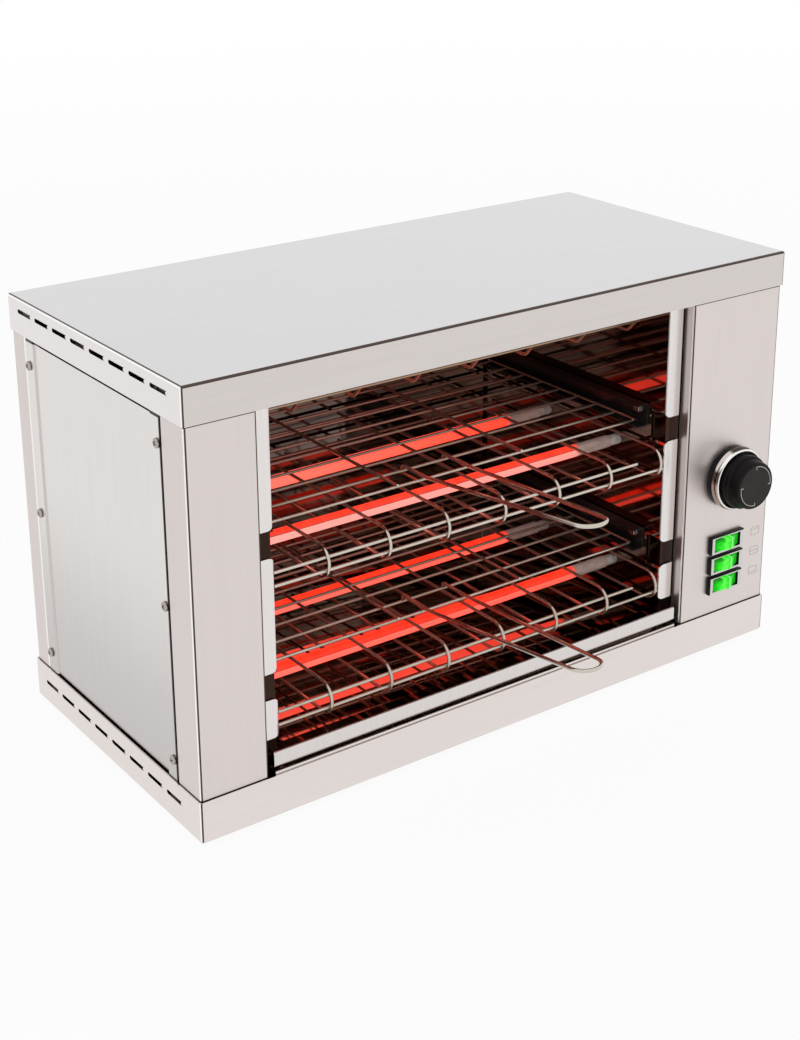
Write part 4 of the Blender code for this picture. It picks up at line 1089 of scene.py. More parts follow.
def copied(item: Item, place: Matrix) -> Item:
    """A copy of a piece with its own mesh, moved by a matrix.

    Args:
        item: The piece.
        place: The matrix.

    Returns:
        The copy.
    """
    twin = item.copy()
    twin.data = item.data.copy()
    bpy.context.scene.collection.objects.link(twin)
    twin.matrix_world = place @ item.matrix_world
    return twin


def repeated(item: Item, steps: Iterable[Triple]) -> list[Item]:
    """A piece with its copies, each of them shifted by a step."""
    return [item, *(copied(item, Matrix.Translation(step)) for step in steps)]


def aimed(place: Vector, direction: Vector) -> Matrix:
    """The matrix that stands a piece at a place with its Z along a direction."""
    return Matrix.Translation(place) @ direction.to_track_quat("Z", "Y").to_matrix().to_4x4()


def block(name: str, low: Sequence[float], high: Sequence[float]) -> Item:
    """A cube primitive at its size and place, left in object mode to be shaped.

    Args:
        name: The block's name.
        low: Its low corner.
        high: Its high corner.

    Returns:
        The block.
    """
    low, high = Vector(low), Vector(high)
    deselect_all()
    bpy.ops.mesh.primitive_cube_add(size=1, location=(low + high) / 2, scale=high - low)
    bpy.context.object.name = name
    settle_place()
    return bpy.context.object


def turned_down(
    item: Item, cut: float, axis: Axis, wanted: Test, leg: Sequence[float]
) -> Item:
    """Folds one edge of a plate: scores it, and draws the faces beyond the score out.

    Args:
        item: The plate.
        cut: Where the score lies along the axis.
        axis: The axis that is square to the score.
        wanted: The test that finds the faces to draw out.
        leg: The way and the length that they are drawn.

    Returns:
        The folded plate.
    """
    opened(item)
    bpy.ops.mesh.bisect(plane_co=axis.vector * cut, plane_no=axis.vector)
    pick(item, "FACE", wanted)
    extrude(leg)
    return sealed(item)


def open_ring(name: str, centre: Vector, heading: Vector, radius: float, sides: int) -> Item:
    """An open ring square to a heading, left in edit mode to be drawn out.

    Args:
        name: The ring's name.
        centre: Its middle.
        heading: The direction that it is square to.
        radius: Its radius.
        sides: How many sides it has.

    Returns:
        The ring.
    """
    deselect_all()
    bpy.ops.mesh.primitive_circle_add(
        vertices=sides,
        radius=radius,
        fill_type="NOTHING",
        enter_editmode=True,
        location=centre,
        rotation=heading.to_track_quat("Z", "Y").to_euler(),
    )
    bpy.context.object.name = name
    return bpy.context.object


class WireBender:
    """Draws one wire from its start, as a bending machine does, in runs and bends."""

    def __init__(
        self, name: str, diameter: float, start: Vector, heading: Vector, sides: int = 12
    ) -> None:
        """Sets a ring square to the wire's first run.

        Args:
            name: The wire's name.
            diameter: Its diameter.
            start: Where its middle line starts.
            heading: The direction of its first run.
            sides: How many sides its round has.
        """
        self.heading = heading.normalized()
        self.tip = start.copy()
        self.item = open_ring(name, start, self.heading, diameter / 2, sides)

    def run(self, length: float) -> "WireBender":
        """Draws a straight run of a length.

        Args:
            length: The length.

        Returns:
            The bender itself, for the next step.
        """
        step = self.heading * length
        extrude(step)
        self.tip += step
        return self

    def bend(self, radius: float, angle: float, axis: Vector) -> "WireBender":
        """Bends the wire about an axis.

        Args:
            radius: The radius of its middle line.
            angle: How far it turns.
            axis: The axis that the heading turns about, by the right hand.

        Returns:
            The bender itself, for the next step.
        """
        axis = axis.normalized()
        centre = self.tip + axis.cross(self.heading) * radius
        steps = max(2, math.ceil(abs(angle) / STEP_ANGLE))
        bpy.ops.mesh.spin(steps=steps, angle=-angle, center=centre, axis=axis)
        turn = Matrix.Rotation(angle, 3, axis)
        self.tip = centre + turn @ (self.tip - centre)
        self.heading = turn @ self.heading
        return self

    def through(self, corners: Sequence[Vector], radii: Sequence[float]) -> "WireBender":
        """Draws the wire through corners, with a round bend at each one but the last.

        Args:
            corners: The corners.
            radii: The radius of each bend.

        Returns:
            The bender itself.
        """
        for corner, after, radius in zip(corners, corners[1:], radii):
            onward = (after - corner).normalized()
            angle = self.heading.angle(onward)
            self.run((corner - self.tip).length - radius * math.tan(angle / 2))
            self.bend(radius, angle, self.heading.cross(onward))
        return self.run((corners[-1] - self.tip).length)

    def cut_off(self) -> Item:
        """Ends the wire with flat ends and gives the piece."""
        return sealed(self.item)


class Lathe:
    """Turns a round piece from a ring that is drawn along its axis and scaled."""

    def __init__(
        self, name: str, centre: Vector, axis: Vector, radius: float, steps: int = 48
    ) -> None:
        """Sets the first ring.

        Args:
            name: The piece's name.
            centre: The middle of the first ring.
            axis: The direction that the piece is turned along.
            radius: The radius of the first ring.
            steps: How many sides the round has.
        """
        self.centre = centre.copy()
        self.axis = axis.normalized()
        self.radius = radius
        self.along = 0.0
        self.item = open_ring(name, centre, self.axis, radius, steps)

    def to(self, radius: float, along: float) -> "Lathe":
        """Draws the wall to a radius at a distance from the first ring.

        Args:
            radius: The radius, or 0 to close the wall.
            along: The distance.

        Returns:
            The lathe itself, for the next step.
        """
        extrude(self.axis * (along - self.along))
        if radius == 0:
            bpy.ops.mesh.merge(type="CENTER")
        elif radius != self.radius:
            ratio = radius / self.radius
            centre = self.centre + self.axis * along
            bpy.ops.transform.resize(value=(ratio, ratio, ratio), center_override=centre)
        self.radius, self.along = radius, along
        return self

    def profile(self, points: Profile, radius: float = 1.0, length: float = 1.0) -> "Lathe":
        """Draws the wall through radii and distances, as shares of a radius and a length.

        Args:
            points: The pairs of shares.
            radius: The radius.
            length: The length.

        Returns:
            The lathe itself.
        """
        for across, along in points:
            self.to(across * radius, along * length)
        return self

    def part_off(self) -> Item:
        """Closes the piece and gives it."""
        return sealed(self.item)


# Sub-assemblies


class Box:
    """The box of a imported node, which gives a new piece its place and size."""

    def __init__(self, node: str) -> None:
        """Measures a node.

        Args:
            node: The node's name.
        """
        self.low, self.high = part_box(node)
        self.centre = (self.low + self.high) / 2
        self.width, self.depth, self.height = (
            high - low for low, high in zip(self.low, self.high)
        )
        self.radius = self.width / 2

    def axis_at(self, depth: float) -> Vector:
        """The point of the middle line from front to back that lies at a depth."""
        return Vector((self.centre.x, depth, self.centre.z))

    def end(self, side: Side) -> float:
        """Where the box ends on a side."""
        return self.low.x if side is Side.LEFT else self.high.x


class Palette:
    """The finishes of the object, each made once."""

    def __init__(self) -> None:
        """Makes every material."""
        self.made: dict[str, bpy.types.Material] = {
            finish.name: finish.material() for finish in FINISHES
        }
        self.slots: dict[str, str] = {finish.name: finish.slot for finish in FINISHES}


@dataclass
class SubAssembly:
    """Pieces that belong together, finished from one palette."""

    palette: Palette
    carried: ClassVar[dict[str, tuple[str, ...]]] = {}

    def dress(self) -> None:
        """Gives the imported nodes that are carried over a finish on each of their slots."""
        for finish, names in self.carried.items():
            for name in names:
                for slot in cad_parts[name].material_slots:
                    slot.material = self.palette.made[finish]
                log.info("%s: carried over", name)

    def build(self) -> None:
        """Makes the pieces that are modelled anew, if there are any."""

    def place(
        self, item: Item, name: str, finish: str, body: str = HOUSING, replaces: str = ""
    ) -> Item:
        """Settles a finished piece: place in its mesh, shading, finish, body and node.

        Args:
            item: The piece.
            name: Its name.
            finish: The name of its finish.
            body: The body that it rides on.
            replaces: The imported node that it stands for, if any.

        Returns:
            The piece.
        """
        take_up(item)
        item.name = item.data.name = name
        settle_place()
        bpy.ops.object.shade_smooth_by_angle(angle=SMOOTH_ANGLE)
        item.data.materials.clear()
        item.data.materials.append(self.palette.made[finish])
        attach(item, body)
        if replaces:
            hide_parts(replaces)
        log.info("%s: %d faces", name, len(item.data.polygons))
        return item


@dataclass
class Casing(SubAssembly):
    """The folded sheets of the outside."""

    carried = {
        "satin_lid": ("lid_cover",),
        "satin_base": ("base_pan",),
        "satin_upright": ("front_left_column", "control_panel", "rear_panel"),
        "satin_cover": ("left_side_cover", "right_side_cover"),
    }


@dataclass
class CoverScrews(SubAssembly):
    """Pan-head screws with a cross recess that hold the side covers."""

    head_radius: float = 0.0033
    head_height: float = 0.0016
    head: Profile = ((1, 0), (1, 0.45), (0.92, 0.67), (0.72, 0.87), (0.40, 0.98), (0, 1))
    shank_radius: float = 0.0015
    shank_length: float = 0.006
    recess_span: float = 0.0036
    recess_width: float = 0.0008
    recess_depth: float = 0.0009
    per_side: int = 6
    turn_each: float = math.radians(23)

    def build(self) -> None:
        """Turns and slots one screw, and sets a copy over each packed one."""
        lathe = Lathe("cover_screw", Vector(), Axis.Z.vector, self.shank_radius, steps=24)
        lathe.to(self.shank_radius, self.shank_length)
        for share, rise in self.head:
            lathe.to(self.head_radius * share, self.shank_length + self.head_height * rise)
        screw = lathe.part_off()
        top = self.shank_length + self.head_height
        arm = (self.recess_span, self.recess_width)
        middle = Vector((0, 0, top))
        for sizes in (arm, arm[::-1]):
            half = Vector((*sizes, 2 * self.recess_depth)) / 2
            screw = combined(screw, block("recess", middle - half, middle + half))
        for side in Side:
            for number in range(1, self.per_side + 1):
                node = f"{side.word}_cover_screw_{number}"
                box = Box(node)
                tip = Vector((box.end(side), box.centre.y, box.centre.z))
                spin = Matrix.Rotation(self.turn_each * number, 4, "Z")
                twin = copied(screw, aimed(tip - side.outward * top, side.outward) @ spin)
                self.place(twin, f"{side.word}_screw_{number}", "dull_screw", replaces=node)
        bpy.data.objects.remove(screw, do_unlink=True)


@dataclass
class Cavity(SubAssembly):
    """The polished walls of the toasting cavity, with the rails that carry the racks."""

    carried = {
        "heated_mirror": ("ceiling_reflector", "inner_floor"),
        "back_mirror": ("back_liner",),
        "liner_steel": ("left_liner", "right_liner"),
        "blackened_rail": tuple(
            f"rack_rail_{deck}_{side}" for deck in ("upper", "lower") for side in ("left", "right")
        ),
    }
    bolt_radius: float = 0.0034
    bolt_height: float = 0.0024
    bolt_crown: Profile = ((1, 0.85), (0.86, 1))
    washer_radius: float = 0.0042
    washer_height: float = 0.0006
    bolt_from_front: float = 0.009
    bolt_below_top: float = 0.0048
    web: float = 0.001
    angle_gap: float = 0.0004
    angle_sheet: float = 0.0008
    angle_width: float = 0.010
    angle_leg: float = 0.005
    angle_clear: float = 0.002
    angle_round: float = 0.00024
    backing_depth: float = 0.0165

    def build(self) -> None:
        """Sets a bolt in the front of each rail, and an angle behind each slit and notch."""
        bolt = self.build_bolt()
        for deck in Deck:
            for side in Side:
                name = f"{deck.value}_{side.word}"
                rail = Box(f"rack_rail_{name}")
                wall = rail.end(side) - side.value * (self.web + MERGE_DISTANCE)
                height = rail.high.z - self.web - self.bolt_below_top
                spot = Vector((wall, rail.low.y + self.bolt_from_front, height))
                twin = copied(bolt, aimed(spot, -side.outward))
                self.place(twin, f"rail_bolt_{name}", "dull_bolt")
        bpy.data.objects.remove(bolt, do_unlink=True)
        for side in Side:
            self.build_corner(side)
            self.build_backing(side)

    def build_bolt(self) -> Item:
        """Turns a washer and a six-sided head on it.

        Returns:
            The bolt, at the origin with its head up.
        """
        up = Axis.Z.vector
        lathe = Lathe("rail_bolt", Vector(), up, self.washer_radius, steps=24)
        washer = lathe.to(self.washer_radius, self.washer_height).part_off()
        lathe = Lathe("head", up * self.washer_height, up, self.bolt_radius, steps=6)
        lathe.profile(self.bolt_crown, self.bolt_radius, self.bolt_height)
        return joined((washer, lathe.part_off()))

    def build_corner(self, side: Side) -> None:
        """Folds a dark angle behind the slit of a rear corner, a dark sheet that stands in for the
        shade in the slit.

        Args:
            side: The side of the casing.
        """
        liner = Box(f"{side.word}_liner")
        wall = liner.high.x if side is Side.LEFT else liner.low.x
        outer = wall + side.value * (self.web + self.angle_gap)
        face = outer + side.value * self.angle_sheet
        ends = sorted((outer, face))
        rear = Box("back_liner").low.y - self.angle_gap
        front = rear - self.angle_width
        strip = block(
            "corner_angle",
            (ends[0], front, liner.low.z + self.angle_clear),
            (ends[1], rear, liner.high.z - self.angle_clear),
        )
        cut = front + self.angle_sheet
        strip = turned_down(
            strip,
            cut,
            Axis.Y,
            lambda middle, normal: abs(middle.x - face) < MERGE_DISTANCE and middle.y < cut,
            side.outward * self.angle_leg,
        )
        bevelled(strip, self.angle_round)
        # The blackened finish makes the angle a dark sheet standing in for shade
        self.place(strip, f"corner_angle_{side.word}", "blackened_rail")

    def build_backing(self, side: Side) -> None:
        """Folds the browned angle that closes the notches of a wall's front flange.

        Args:
            side: The side of the casing.
        """
        liner = Box(f"{side.word}_liner")
        left = side is Side.LEFT
        wall = liner.high.x if left else liner.low.x
        end = Box("front_left_column").high.x if left else Box("control_panel").low.x
        inner = wall + side.value * (self.web + self.angle_gap)
        ends = sorted((inner, end - side.value * self.angle_gap))
        front = liner.low.y + self.web + self.angle_gap
        strip = block(
            "notch_angle",
            (ends[0], front, liner.low.z + self.angle_clear),
            (ends[1], front + self.angle_sheet, liner.high.z - self.angle_clear),
        )
        cut = inner + side.value * self.angle_sheet
        strip = turned_down(
            strip,
            cut,
            Axis.X,
            lambda middle, normal: normal.y > 0.9 and (middle.x - cut) * side.value < 0,
            (0, self.backing_depth, 0),
        )
        bevelled(strip, self.angle_round)
        self.place(strip, f"notch_angle_{side.word}", "scorched_sheet")


@dataclass
class HeatingTubes(SubAssembly):
    """Six quartz tubes with ceramic ends."""

    tube_radius: float = 0.0046
    waist: float = 0.00414
    shoulder: float = 0.0014
    collar_radius: float = 0.004
    collar_length: float = 0.010
    collar_crown: Profile = ((1, 0.9), (0.9, 1))
    neck_radius: float = 0.0028
    neck_length: float = 0.0143

    def build(self) -> None:
        """Turns the quartz and the two ends of each tube."""
        bright = {Row.FRONT: "quartz_bright", Row.REAR: "quartz_even"}
        for level in Level:
            for row in Row:
                finish = "quartz_deep" if level is Level.BOTTOM else bright[row]
                self.build_tube(f"{level.value}_{row.value}", finish)

    def build_tube(self, name: str, finish: str) -> None:
        """Turns one tube between its ends.

        Args:
            name: The tube's pair and row.
            finish: The name of its finish.
        """
        box = Box(f"quartz_tube_{name}")
        inset = self.neck_length + self.collar_length
        length = box.width - 2 * inset
        start = Vector((box.low.x + inset, box.centre.y, box.centre.z))
        lathe = Lathe("tube", start, Axis.X.vector, self.waist, steps=32)
        lathe.to(self.tube_radius, self.shoulder).to(self.tube_radius, length - self.shoulder)
        tube = lathe.to(self.waist, length).part_off()
        self.place(tube, f"glowing_tube_{name}", finish, replaces=f"quartz_tube_{name}")
        reach = inset - MERGE_DISTANCE
        for side in Side:
            tip = Vector((box.end(side), box.centre.y, box.centre.z))
            base = tip - side.outward * reach
            lathe = Lathe("tube_end", base, side.outward, self.collar_radius, steps=24)
            lathe.profile(self.collar_crown, self.collar_radius, self.collar_length)
            lathe.to(self.neck_radius, self.collar_length).to(self.neck_radius, reach)
            self.place(lathe.part_off(), f"tube_end_{name}_{side.word}", "tube_ceramic")


@dataclass
class TubeGuards(SubAssembly):
    """Hairpin wires round each pair of tubes, tied by cross bars."""

    wire: float = 0.0024
    hairpins: int = 7
    first: float = -0.145
    last: float = 0.143
    drop: float = 0.0045
    loop_radius: float = 0.011
    loop_y: float = -0.039625
    rear_y: float = 0.154375
    bar_setback: float = 0.008
    bar_rake: float = math.radians(30)
    bar_short_end: float = 0.025
    overlap: float = 0.0008
    top_rise: float = 0.0245
    top_bar_height: float = 0.0084
    top_sag: float = 0.0018
    top_slope: float = math.radians(48)
    top_knee: float = 0.010
    bend_radius: float = 0.006

    def build(self) -> None:
        """Bends the guard of each pair of tubes."""
        for level in Level:
            self.build_guard(level)

    def strand(self, level: Level, height: float, knee_y: float) -> Item:
        """Bends the first wire of a guard.

        Args:
            level: The pair of tubes.
            height: The height of their middle.
            knee_y: Where a strand of the top guard turns up.

        Returns:
            The wire.
        """
        forward = -Axis.Y.vector
        if level is not Level.TOP:
            start = Vector((self.first, self.rear_y, height + self.loop_radius))
            leg = self.rear_y - self.loop_y
            bender = WireBender("hairpin", self.wire, start, forward).run(leg)
            bender.bend(self.loop_radius, math.pi, Axis.X.vector).run(leg)
            return bender.cut_off()
        low = height - self.loop_radius - self.top_sag
        knee = Vector((self.first, knee_y, low))
        end = knee + Vector((0, -self.top_rise / math.tan(self.top_slope), self.top_rise))
        bender = WireBender("strand", self.wire, Vector((self.first, self.rear_y, low)), forward)
        return bender.through((knee, end), (self.bend_radius,)).cut_off()

    def build_guard(self, level: Level) -> None:
        """Bends and ties one guard.

        Args:
            level: The pair of tubes.
        """
        node = f"tube_guard_{level.value}"
        tube = Box(f"quartz_tube_{level.value}_front").centre
        height = tube.z - (0 if level is Level.TOP else self.drop)
        knee_y = tube.y - self.top_knee
        box = Box(node)
        pitch = (self.last - self.first) / (self.hairpins - 1)
        steps = ((pitch * index, 0, 0) for index in range(1, self.hairpins))
        wires = repeated(self.strand(level, height, knee_y), steps)
        touch = self.wire - self.overlap
        rear = self.rear_y - self.bar_setback
        right = box.high.x
        bars = [(rear, height - self.loop_radius + touch, right)]
        if level is Level.TOP:
            run = self.top_bar_height / math.tan(self.top_slope)
            ahead = knee_y - run - touch * math.sin(self.top_slope)
            lift = self.top_bar_height - touch * math.cos(self.top_slope)
            bars.append((ahead, height - self.loop_radius + lift, right))
        else:
            reach = self.loop_radius - touch
            ahead = self.loop_y - reach * math.cos(self.bar_rake)
            lift = reach * math.sin(self.bar_rake)
            bars += [
                (rear, height + reach, right),
                (ahead, height - lift, right),
                (ahead, height + lift, right - self.bar_short_end),
            ]
        for along, up, end in bars:
            start = Vector((box.low.x, along, up))
            bar = WireBender("bar", self.wire, start, Axis.X.vector).run(end - box.low.x)
            wires.append(bar.cut_off())
        finishes = {Level.TOP: "scorched_wire", Level.BOTTOM: "low_wire"}
        finish = finishes.get(level, "tempered_wire")
        self.place(joined(wires), f"guard_wires_{level.value}", finish, replaces=node)


@dataclass
class Rack(SubAssembly):
    """A wire rack: cross wires on runners, with the loop handle hooked over its front."""

    deck: Deck
    wire: float = 0.0021
    overlap: float = 0.0008
    cross_wires: int = 9
    overhang: float = 0.0015
    runners: int = 4
    runner_inset: float = 0.0012
    handle_wire: float = 0.0027
    handle_offset: float = -0.033
    leg_spread: float = 0.0175
    tip_radius: float = 0.011
    level_run: float = 0.004
    rise: float = 0.0145
    hook_gap: float = 0.0003
    bend_radius: float = 0.010

    def build(self) -> None:
        """Welds the grid and bends the handle."""
        body = f"{self.deck.value}_rack"
        box = Box(body)
        height = box.centre.z - (self.wire - self.overlap) / 2
        first = box.low.y + self.overhang
        self.place(
            self.grid(box, height, first), f"{body}_grid", "tempered_wire", body, replaces=body
        )
        loop = self.loop(Box(f"{body}_handle"), height, first)
        self.place(loop, f"{body}_loop", "tempered_wire", body, replaces=f"{body}_handle")

    def grid(self, box: Box, height: float, first: float) -> Item:
        """Lays the runners over the cross wires.

        Args:
            box: The rack's box.
            height: The height of the cross wires' middle line.
            first: Where the foremost of them lies.

        Returns:
            The grid.
        """
        start = Vector((box.low.x, first, height))
        cross = WireBender("cross", self.wire, start, Axis.X.vector).run(box.width).cut_off()
        last = box.high.y - self.overhang
        pitch = (last - first) / (self.cross_wires - 1)
        pieces = repeated(cross, ((0, pitch * index, 0) for index in range(1, self.cross_wires)))
        over = height + self.wire - self.overlap
        start = Vector((box.low.x + self.runner_inset, box.high.y, over))
        runner = WireBender("runner", self.wire, start, -Axis.Y.vector).run(box.depth).cut_off()
        pitch = (box.width - 2 * self.runner_inset) / (self.runners - 1)
        pieces += repeated(runner, ((pitch * index, 0, 0) for index in range(1, self.runners)))
        return joined(pieces)

    def loop(self, box: Box, plane: float, first: float) -> Item:
        """Bends the handle from one hook round the tip to the other.

        Args:
            box: The handle's box.
            plane: The height of the cross wires' middle line.
            first: Where the foremost of them lies.

        Returns:
            The loop.
        """
        height = plane + (self.wire + self.handle_wire) / 2 + self.hook_gap
        centre_y = box.low.y + self.handle_wire / 2 + self.tip_radius
        level_end = first - self.level_run
        hook_y = box.high.y - self.handle_wire / 2
        leg = self.handle_offset + self.leg_spread
        start = Vector((leg, hook_y, box.low.z))
        knee = Vector((leg, hook_y, height))
        turn = Vector((leg, level_end, height))
        middle = self.handle_offset
        shoulder = Vector((middle + self.tip_radius, centre_y, height + self.rise))
        bender = WireBender("handle", self.handle_wire, start, knee - start)
        bender.through((knee, turn, shoulder), (self.handle_wire, self.bend_radius))
        forward = Vector((0, -1, self.rise / (level_end - centre_y))).normalized()
        sweep = bender.heading.angle(forward)
        axis = bender.heading.cross(-Axis.X.vector)
        bender.bend(self.tip_radius, math.pi + 2 * sweep, axis)
        return self.mirrored(bender.cut_off(), middle)

    def mirrored(self, item: Item, middle: float) -> Item:
        """Cuts the loop at its middle, and mirrors the first half over it.

        Args:
            item: The bent wire.
            middle: The plane of X that the loop is the same on both sides of.

        Returns:
            The whole loop.
        """
        opened(item)
        bpy.ops.mesh.bisect(plane_co=(middle, 0, 0), plane_no=(1, 0, 0), clear_inner=True)
        bpy.ops.object.mode_set(mode="OBJECT")
        settle_place()
        bpy.context.scene.cursor.location = (middle, 0, 0)
        bpy.ops.object.origin_set(type="ORIGIN_CURSOR")
        modified(item, "MIRROR", use_axis=(True, False, False), merge_threshold=0.0001)
        bpy.ops.object.mode_set(mode="EDIT")
        return sealed(item)


@dataclass
class CrumbTray(SubAssembly):
    """The tray under the lowest tubes, with the polished sheet that lies in it."""

    carried = {"tray_steel": ("crumb_tray",)}
    front_gap: float = 0.0106
    side_gap: float = 0.0134
    rear_gap: float = 0.0014
    rim: float = 0.0008
    depth: float = 0.0036
    sheet: float = 0.0006
    sheet_round: float = 0.00024
    sill_setback: float = 0.0013
    sill_gap: float = 0.0014
    sill_depth: float = 0.0080
    sill_leg: float = 0.0040
    sill_round: float = 0.00018

    def build(self) -> None:
        """Folds the sheet and the sill."""
        box = Box("crumb_tray")
        self.build_sheet(box)
        self.build_sill(box)

    def build_sheet(self, box: Box) -> None:
        """Folds the sheet that lies in the tray just below its rim.

        Args:
            box: The tray's box.
        """
        top = box.high.z - self.rim
        sheet = block(
            "sheet",
            (box.low.x + self.side_gap, box.low.y + self.front_gap, top - self.depth),
            (box.high.x - self.side_gap, box.high.y - self.rear_gap, top),
        )
        opened(sheet)
        pick(sheet, "FACE", lambda middle, normal: normal.z < -0.9)
        bpy.ops.mesh.inset(thickness=self.sheet)
        extrude((0, 0, self.depth - self.sheet))
        bpy.ops.object.mode_set(mode="OBJECT")
        bevelled(sheet, self.sheet_round)
        self.place(sheet, "crumb_sheet", "crumb_mirror", body="crumb_tray")

    def build_sill(self, box: Box) -> None:
        """Folds the sill that narrows the gap under the tray's lip.

        Args:
            box: The tray's box.
        """
        front = Box("base_pan").low.y + self.sill_setback
        top = box.low.z - self.sill_gap
        low = (box.low.x, front, top - self.sheet)
        sill = block("sill", low, (box.high.x, front + self.sill_depth, top))
        cut = front + self.sheet
        sill = turned_down(
            sill,
            cut,
            Axis.Y,
            lambda middle, normal: normal.z < -0.9 and middle.y < cut,
            (0, 0, -self.sill_leg),
        )
        bevelled(sill, self.sill_round)
        self.place(sill, "tray_sill", "satin_base")


@dataclass
class TimerControl(SubAssembly):
    """The timer's collar, bright ring and knob, with the marks on its cap."""

    carried = {"pale_moulding": ("timer_body",), "bright_plating": ("timer_shaft",)}
    steps: int = 72
    collar_edge: float = 0.00042
    ring_edge: float = 0.00035
    knob_edge: float = 0.00049
    collar_wall: Profile = ((1, 0.50), (0.985, 0.57))
    collar_bore: float = 0.012
    neck_from: float = 0.57
    neck_radius: float = 0.0186
    ring_setback: float = 0.0026
    ring_wall: Profile = (
        (0.995, 0.12),
        (1, 0.26),
        (0.995, 0.42),
        (0.982, 0.60),
        (0.962, 0.76),
        (0.938, 0.88),
        (0.912, 0.92),
        (0.885, 0.80),
        (0.82, 0.70),
    )
    ring_foot: float = 0.975
    bore_radius: float = 0.0191
    bore_from: float = 0.66
    front_margin: float = 0.0042
    shaft_radius: float = 0.0033
    skirt_neck: float = 0.0187
    skirt_back: float = 0.0034
    skirt_length: float = 0.0072
    skirt_round: float = 0.001
    skirt_edge: float = 0.975
    cap_radius: float = 0.0185
    # Shares of the cap's radius, each with its setback from the cap's front
    cap_edge: Profile = ((0.985, 0.0016), (0.95, 0.0003), (0.90, 0), (0.87, 0.0002), (0, 0.0002))
    disc_share: float = 0.865
    # Shares of the cap's radius, each with its distance from the disc's back
    disc_face: Profile = ((0.865, 0.0001), (0.6, 0.00012), (0, 0.00012))
    dish: float = 0.0002
    mark_radius: float = 0.0152
    mark_width: float = 0.0005
    mark_depth: float = 0.00008
    mark_starts: tuple[int, ...] = (90, 270)
    mark_sweep: float = math.radians(95)
    tick_length: float = 0.0024

    def build(self) -> None:
        """Turns the collar, the ring and the knob, and prints the marks."""
        self.build_collar()
        self.build_ring()
        box = Box("timer_knob")
        self.build_knob(box)
        self.build_marks(box.axis_at(box.low.y + self.front_margin + self.mark_depth))

    def lathe(self, box: Box, back: float, radius: float) -> Lathe:
        """Starts a piece that is turned towards the front from a depth."""
        return Lathe("turned", box.axis_at(back), -Axis.Y.vector, radius, self.steps)

    def build_collar(self) -> None:
        """Turns the fixed black collar."""
        box = Box("timer_collar")
        radius, length = box.radius, box.depth
        lathe = self.lathe(box, box.high.y, radius).profile(self.collar_wall, radius, length)
        lathe.to(self.neck_radius, length * self.neck_from).to(self.neck_radius, length)
        lathe.to(self.collar_bore, length).to(self.collar_bore, 0).to(radius, 0)
        collar = bevelled(lathe.part_off(), self.collar_edge)
        self.place(collar, "knob_collar", "black_moulding", replaces="timer_collar")

    def build_ring(self) -> None:
        """Turns the bright ring with its hollow bevel."""
        box = Box("knob_ring")
        radius, length = box.radius, box.depth
        foot = radius * self.ring_foot
        lathe = self.lathe(box, box.high.y + self.ring_setback, foot)
        lathe.profile(self.ring_wall, radius, length)
        lathe.to(self.bore_radius, length * self.bore_from).to(self.bore_radius, 0).to(foot, 0)
        ring = bevelled(lathe.part_off(), self.ring_edge)
        self.place(ring, "bright_ring", "ring_plating", "knob", replaces="knob_ring")

    def build_knob(self, box: Box) -> None:
        """Turns the skirt and the cap, and a disc that lies in the cap's shallow dish.

        Args:
            box: The knob's box.
        """
        skirt, cap = box.radius, self.cap_radius
        length = box.depth - self.front_margin
        front = self.skirt_back + self.skirt_length
        lathe = self.lathe(box, box.high.y, self.shaft_radius)
        lathe.to(self.skirt_neck, 0).to(self.skirt_neck, self.skirt_back)
        lathe.to(skirt, self.skirt_back).to(skirt, front - self.skirt_round)
        lathe.to(skirt * self.skirt_edge, front).to(cap, front)
        for share, setback in self.cap_edge:
            lathe.to(cap * share, length - setback)
        knob = bevelled(lathe.part_off(), self.knob_edge)
        self.place(knob, "knob_grip", "black_moulding", "knob", replaces="timer_knob")
        face = box.low.y + self.front_margin + self.dish + MERGE_DISTANCE
        lathe = self.lathe(box, face, cap * self.disc_share).profile(self.disc_face, cap)
        self.place(lathe.part_off(), "knob_cap_disc", "knob_cap", "knob")

    def build_marks(self, face: Vector) -> None:
        """Prints arcs with ticks at their ends round the middle of the cap's face.

        Args:
            face: The middle of the cap's face.
        """
        marks = []
        for start in self.mark_starts:
            marks += self.arc(face, math.radians(start), self.mark_sweep)
        self.place(joined(marks), "knob_marks", "white_marking", "knob")

    def arc(self, face: Vector, start: float, sweep: float) -> list[Item]:
        """Draws an arc that runs clockwise as seen from the front, with a tick at each end.

        Args:
            face: The middle of the cap's face.
            start: The angle where the arc starts, from X towards Z.
            sweep: How far it runs.

        Returns:
            The arc and its ticks.
        """

        def spot(angle: float, radius: float) -> Vector:
            """A point on the cap's face."""
            return face + Vector((radius * math.cos(angle), 0, radius * math.sin(angle)))

        heading = Vector((math.sin(start), 0, -math.cos(start)))
        first = spot(start, self.mark_radius)
        bender = WireBender("arc", self.mark_width, first, heading, sides=4)
        bender.bend(self.mark_radius, sweep, heading.cross(face - spot(start, 1)))
        pieces = [bender.cut_off()]
        for angle in (start, start - sweep):
            outer = spot(angle, self.mark_radius)
            way = spot(angle, self.mark_radius - self.tick_length) - outer
            tick = WireBender("tick", self.mark_width, outer, way, sides=4)
            pieces.append(tick.run(way.length).cut_off())
        return pieces


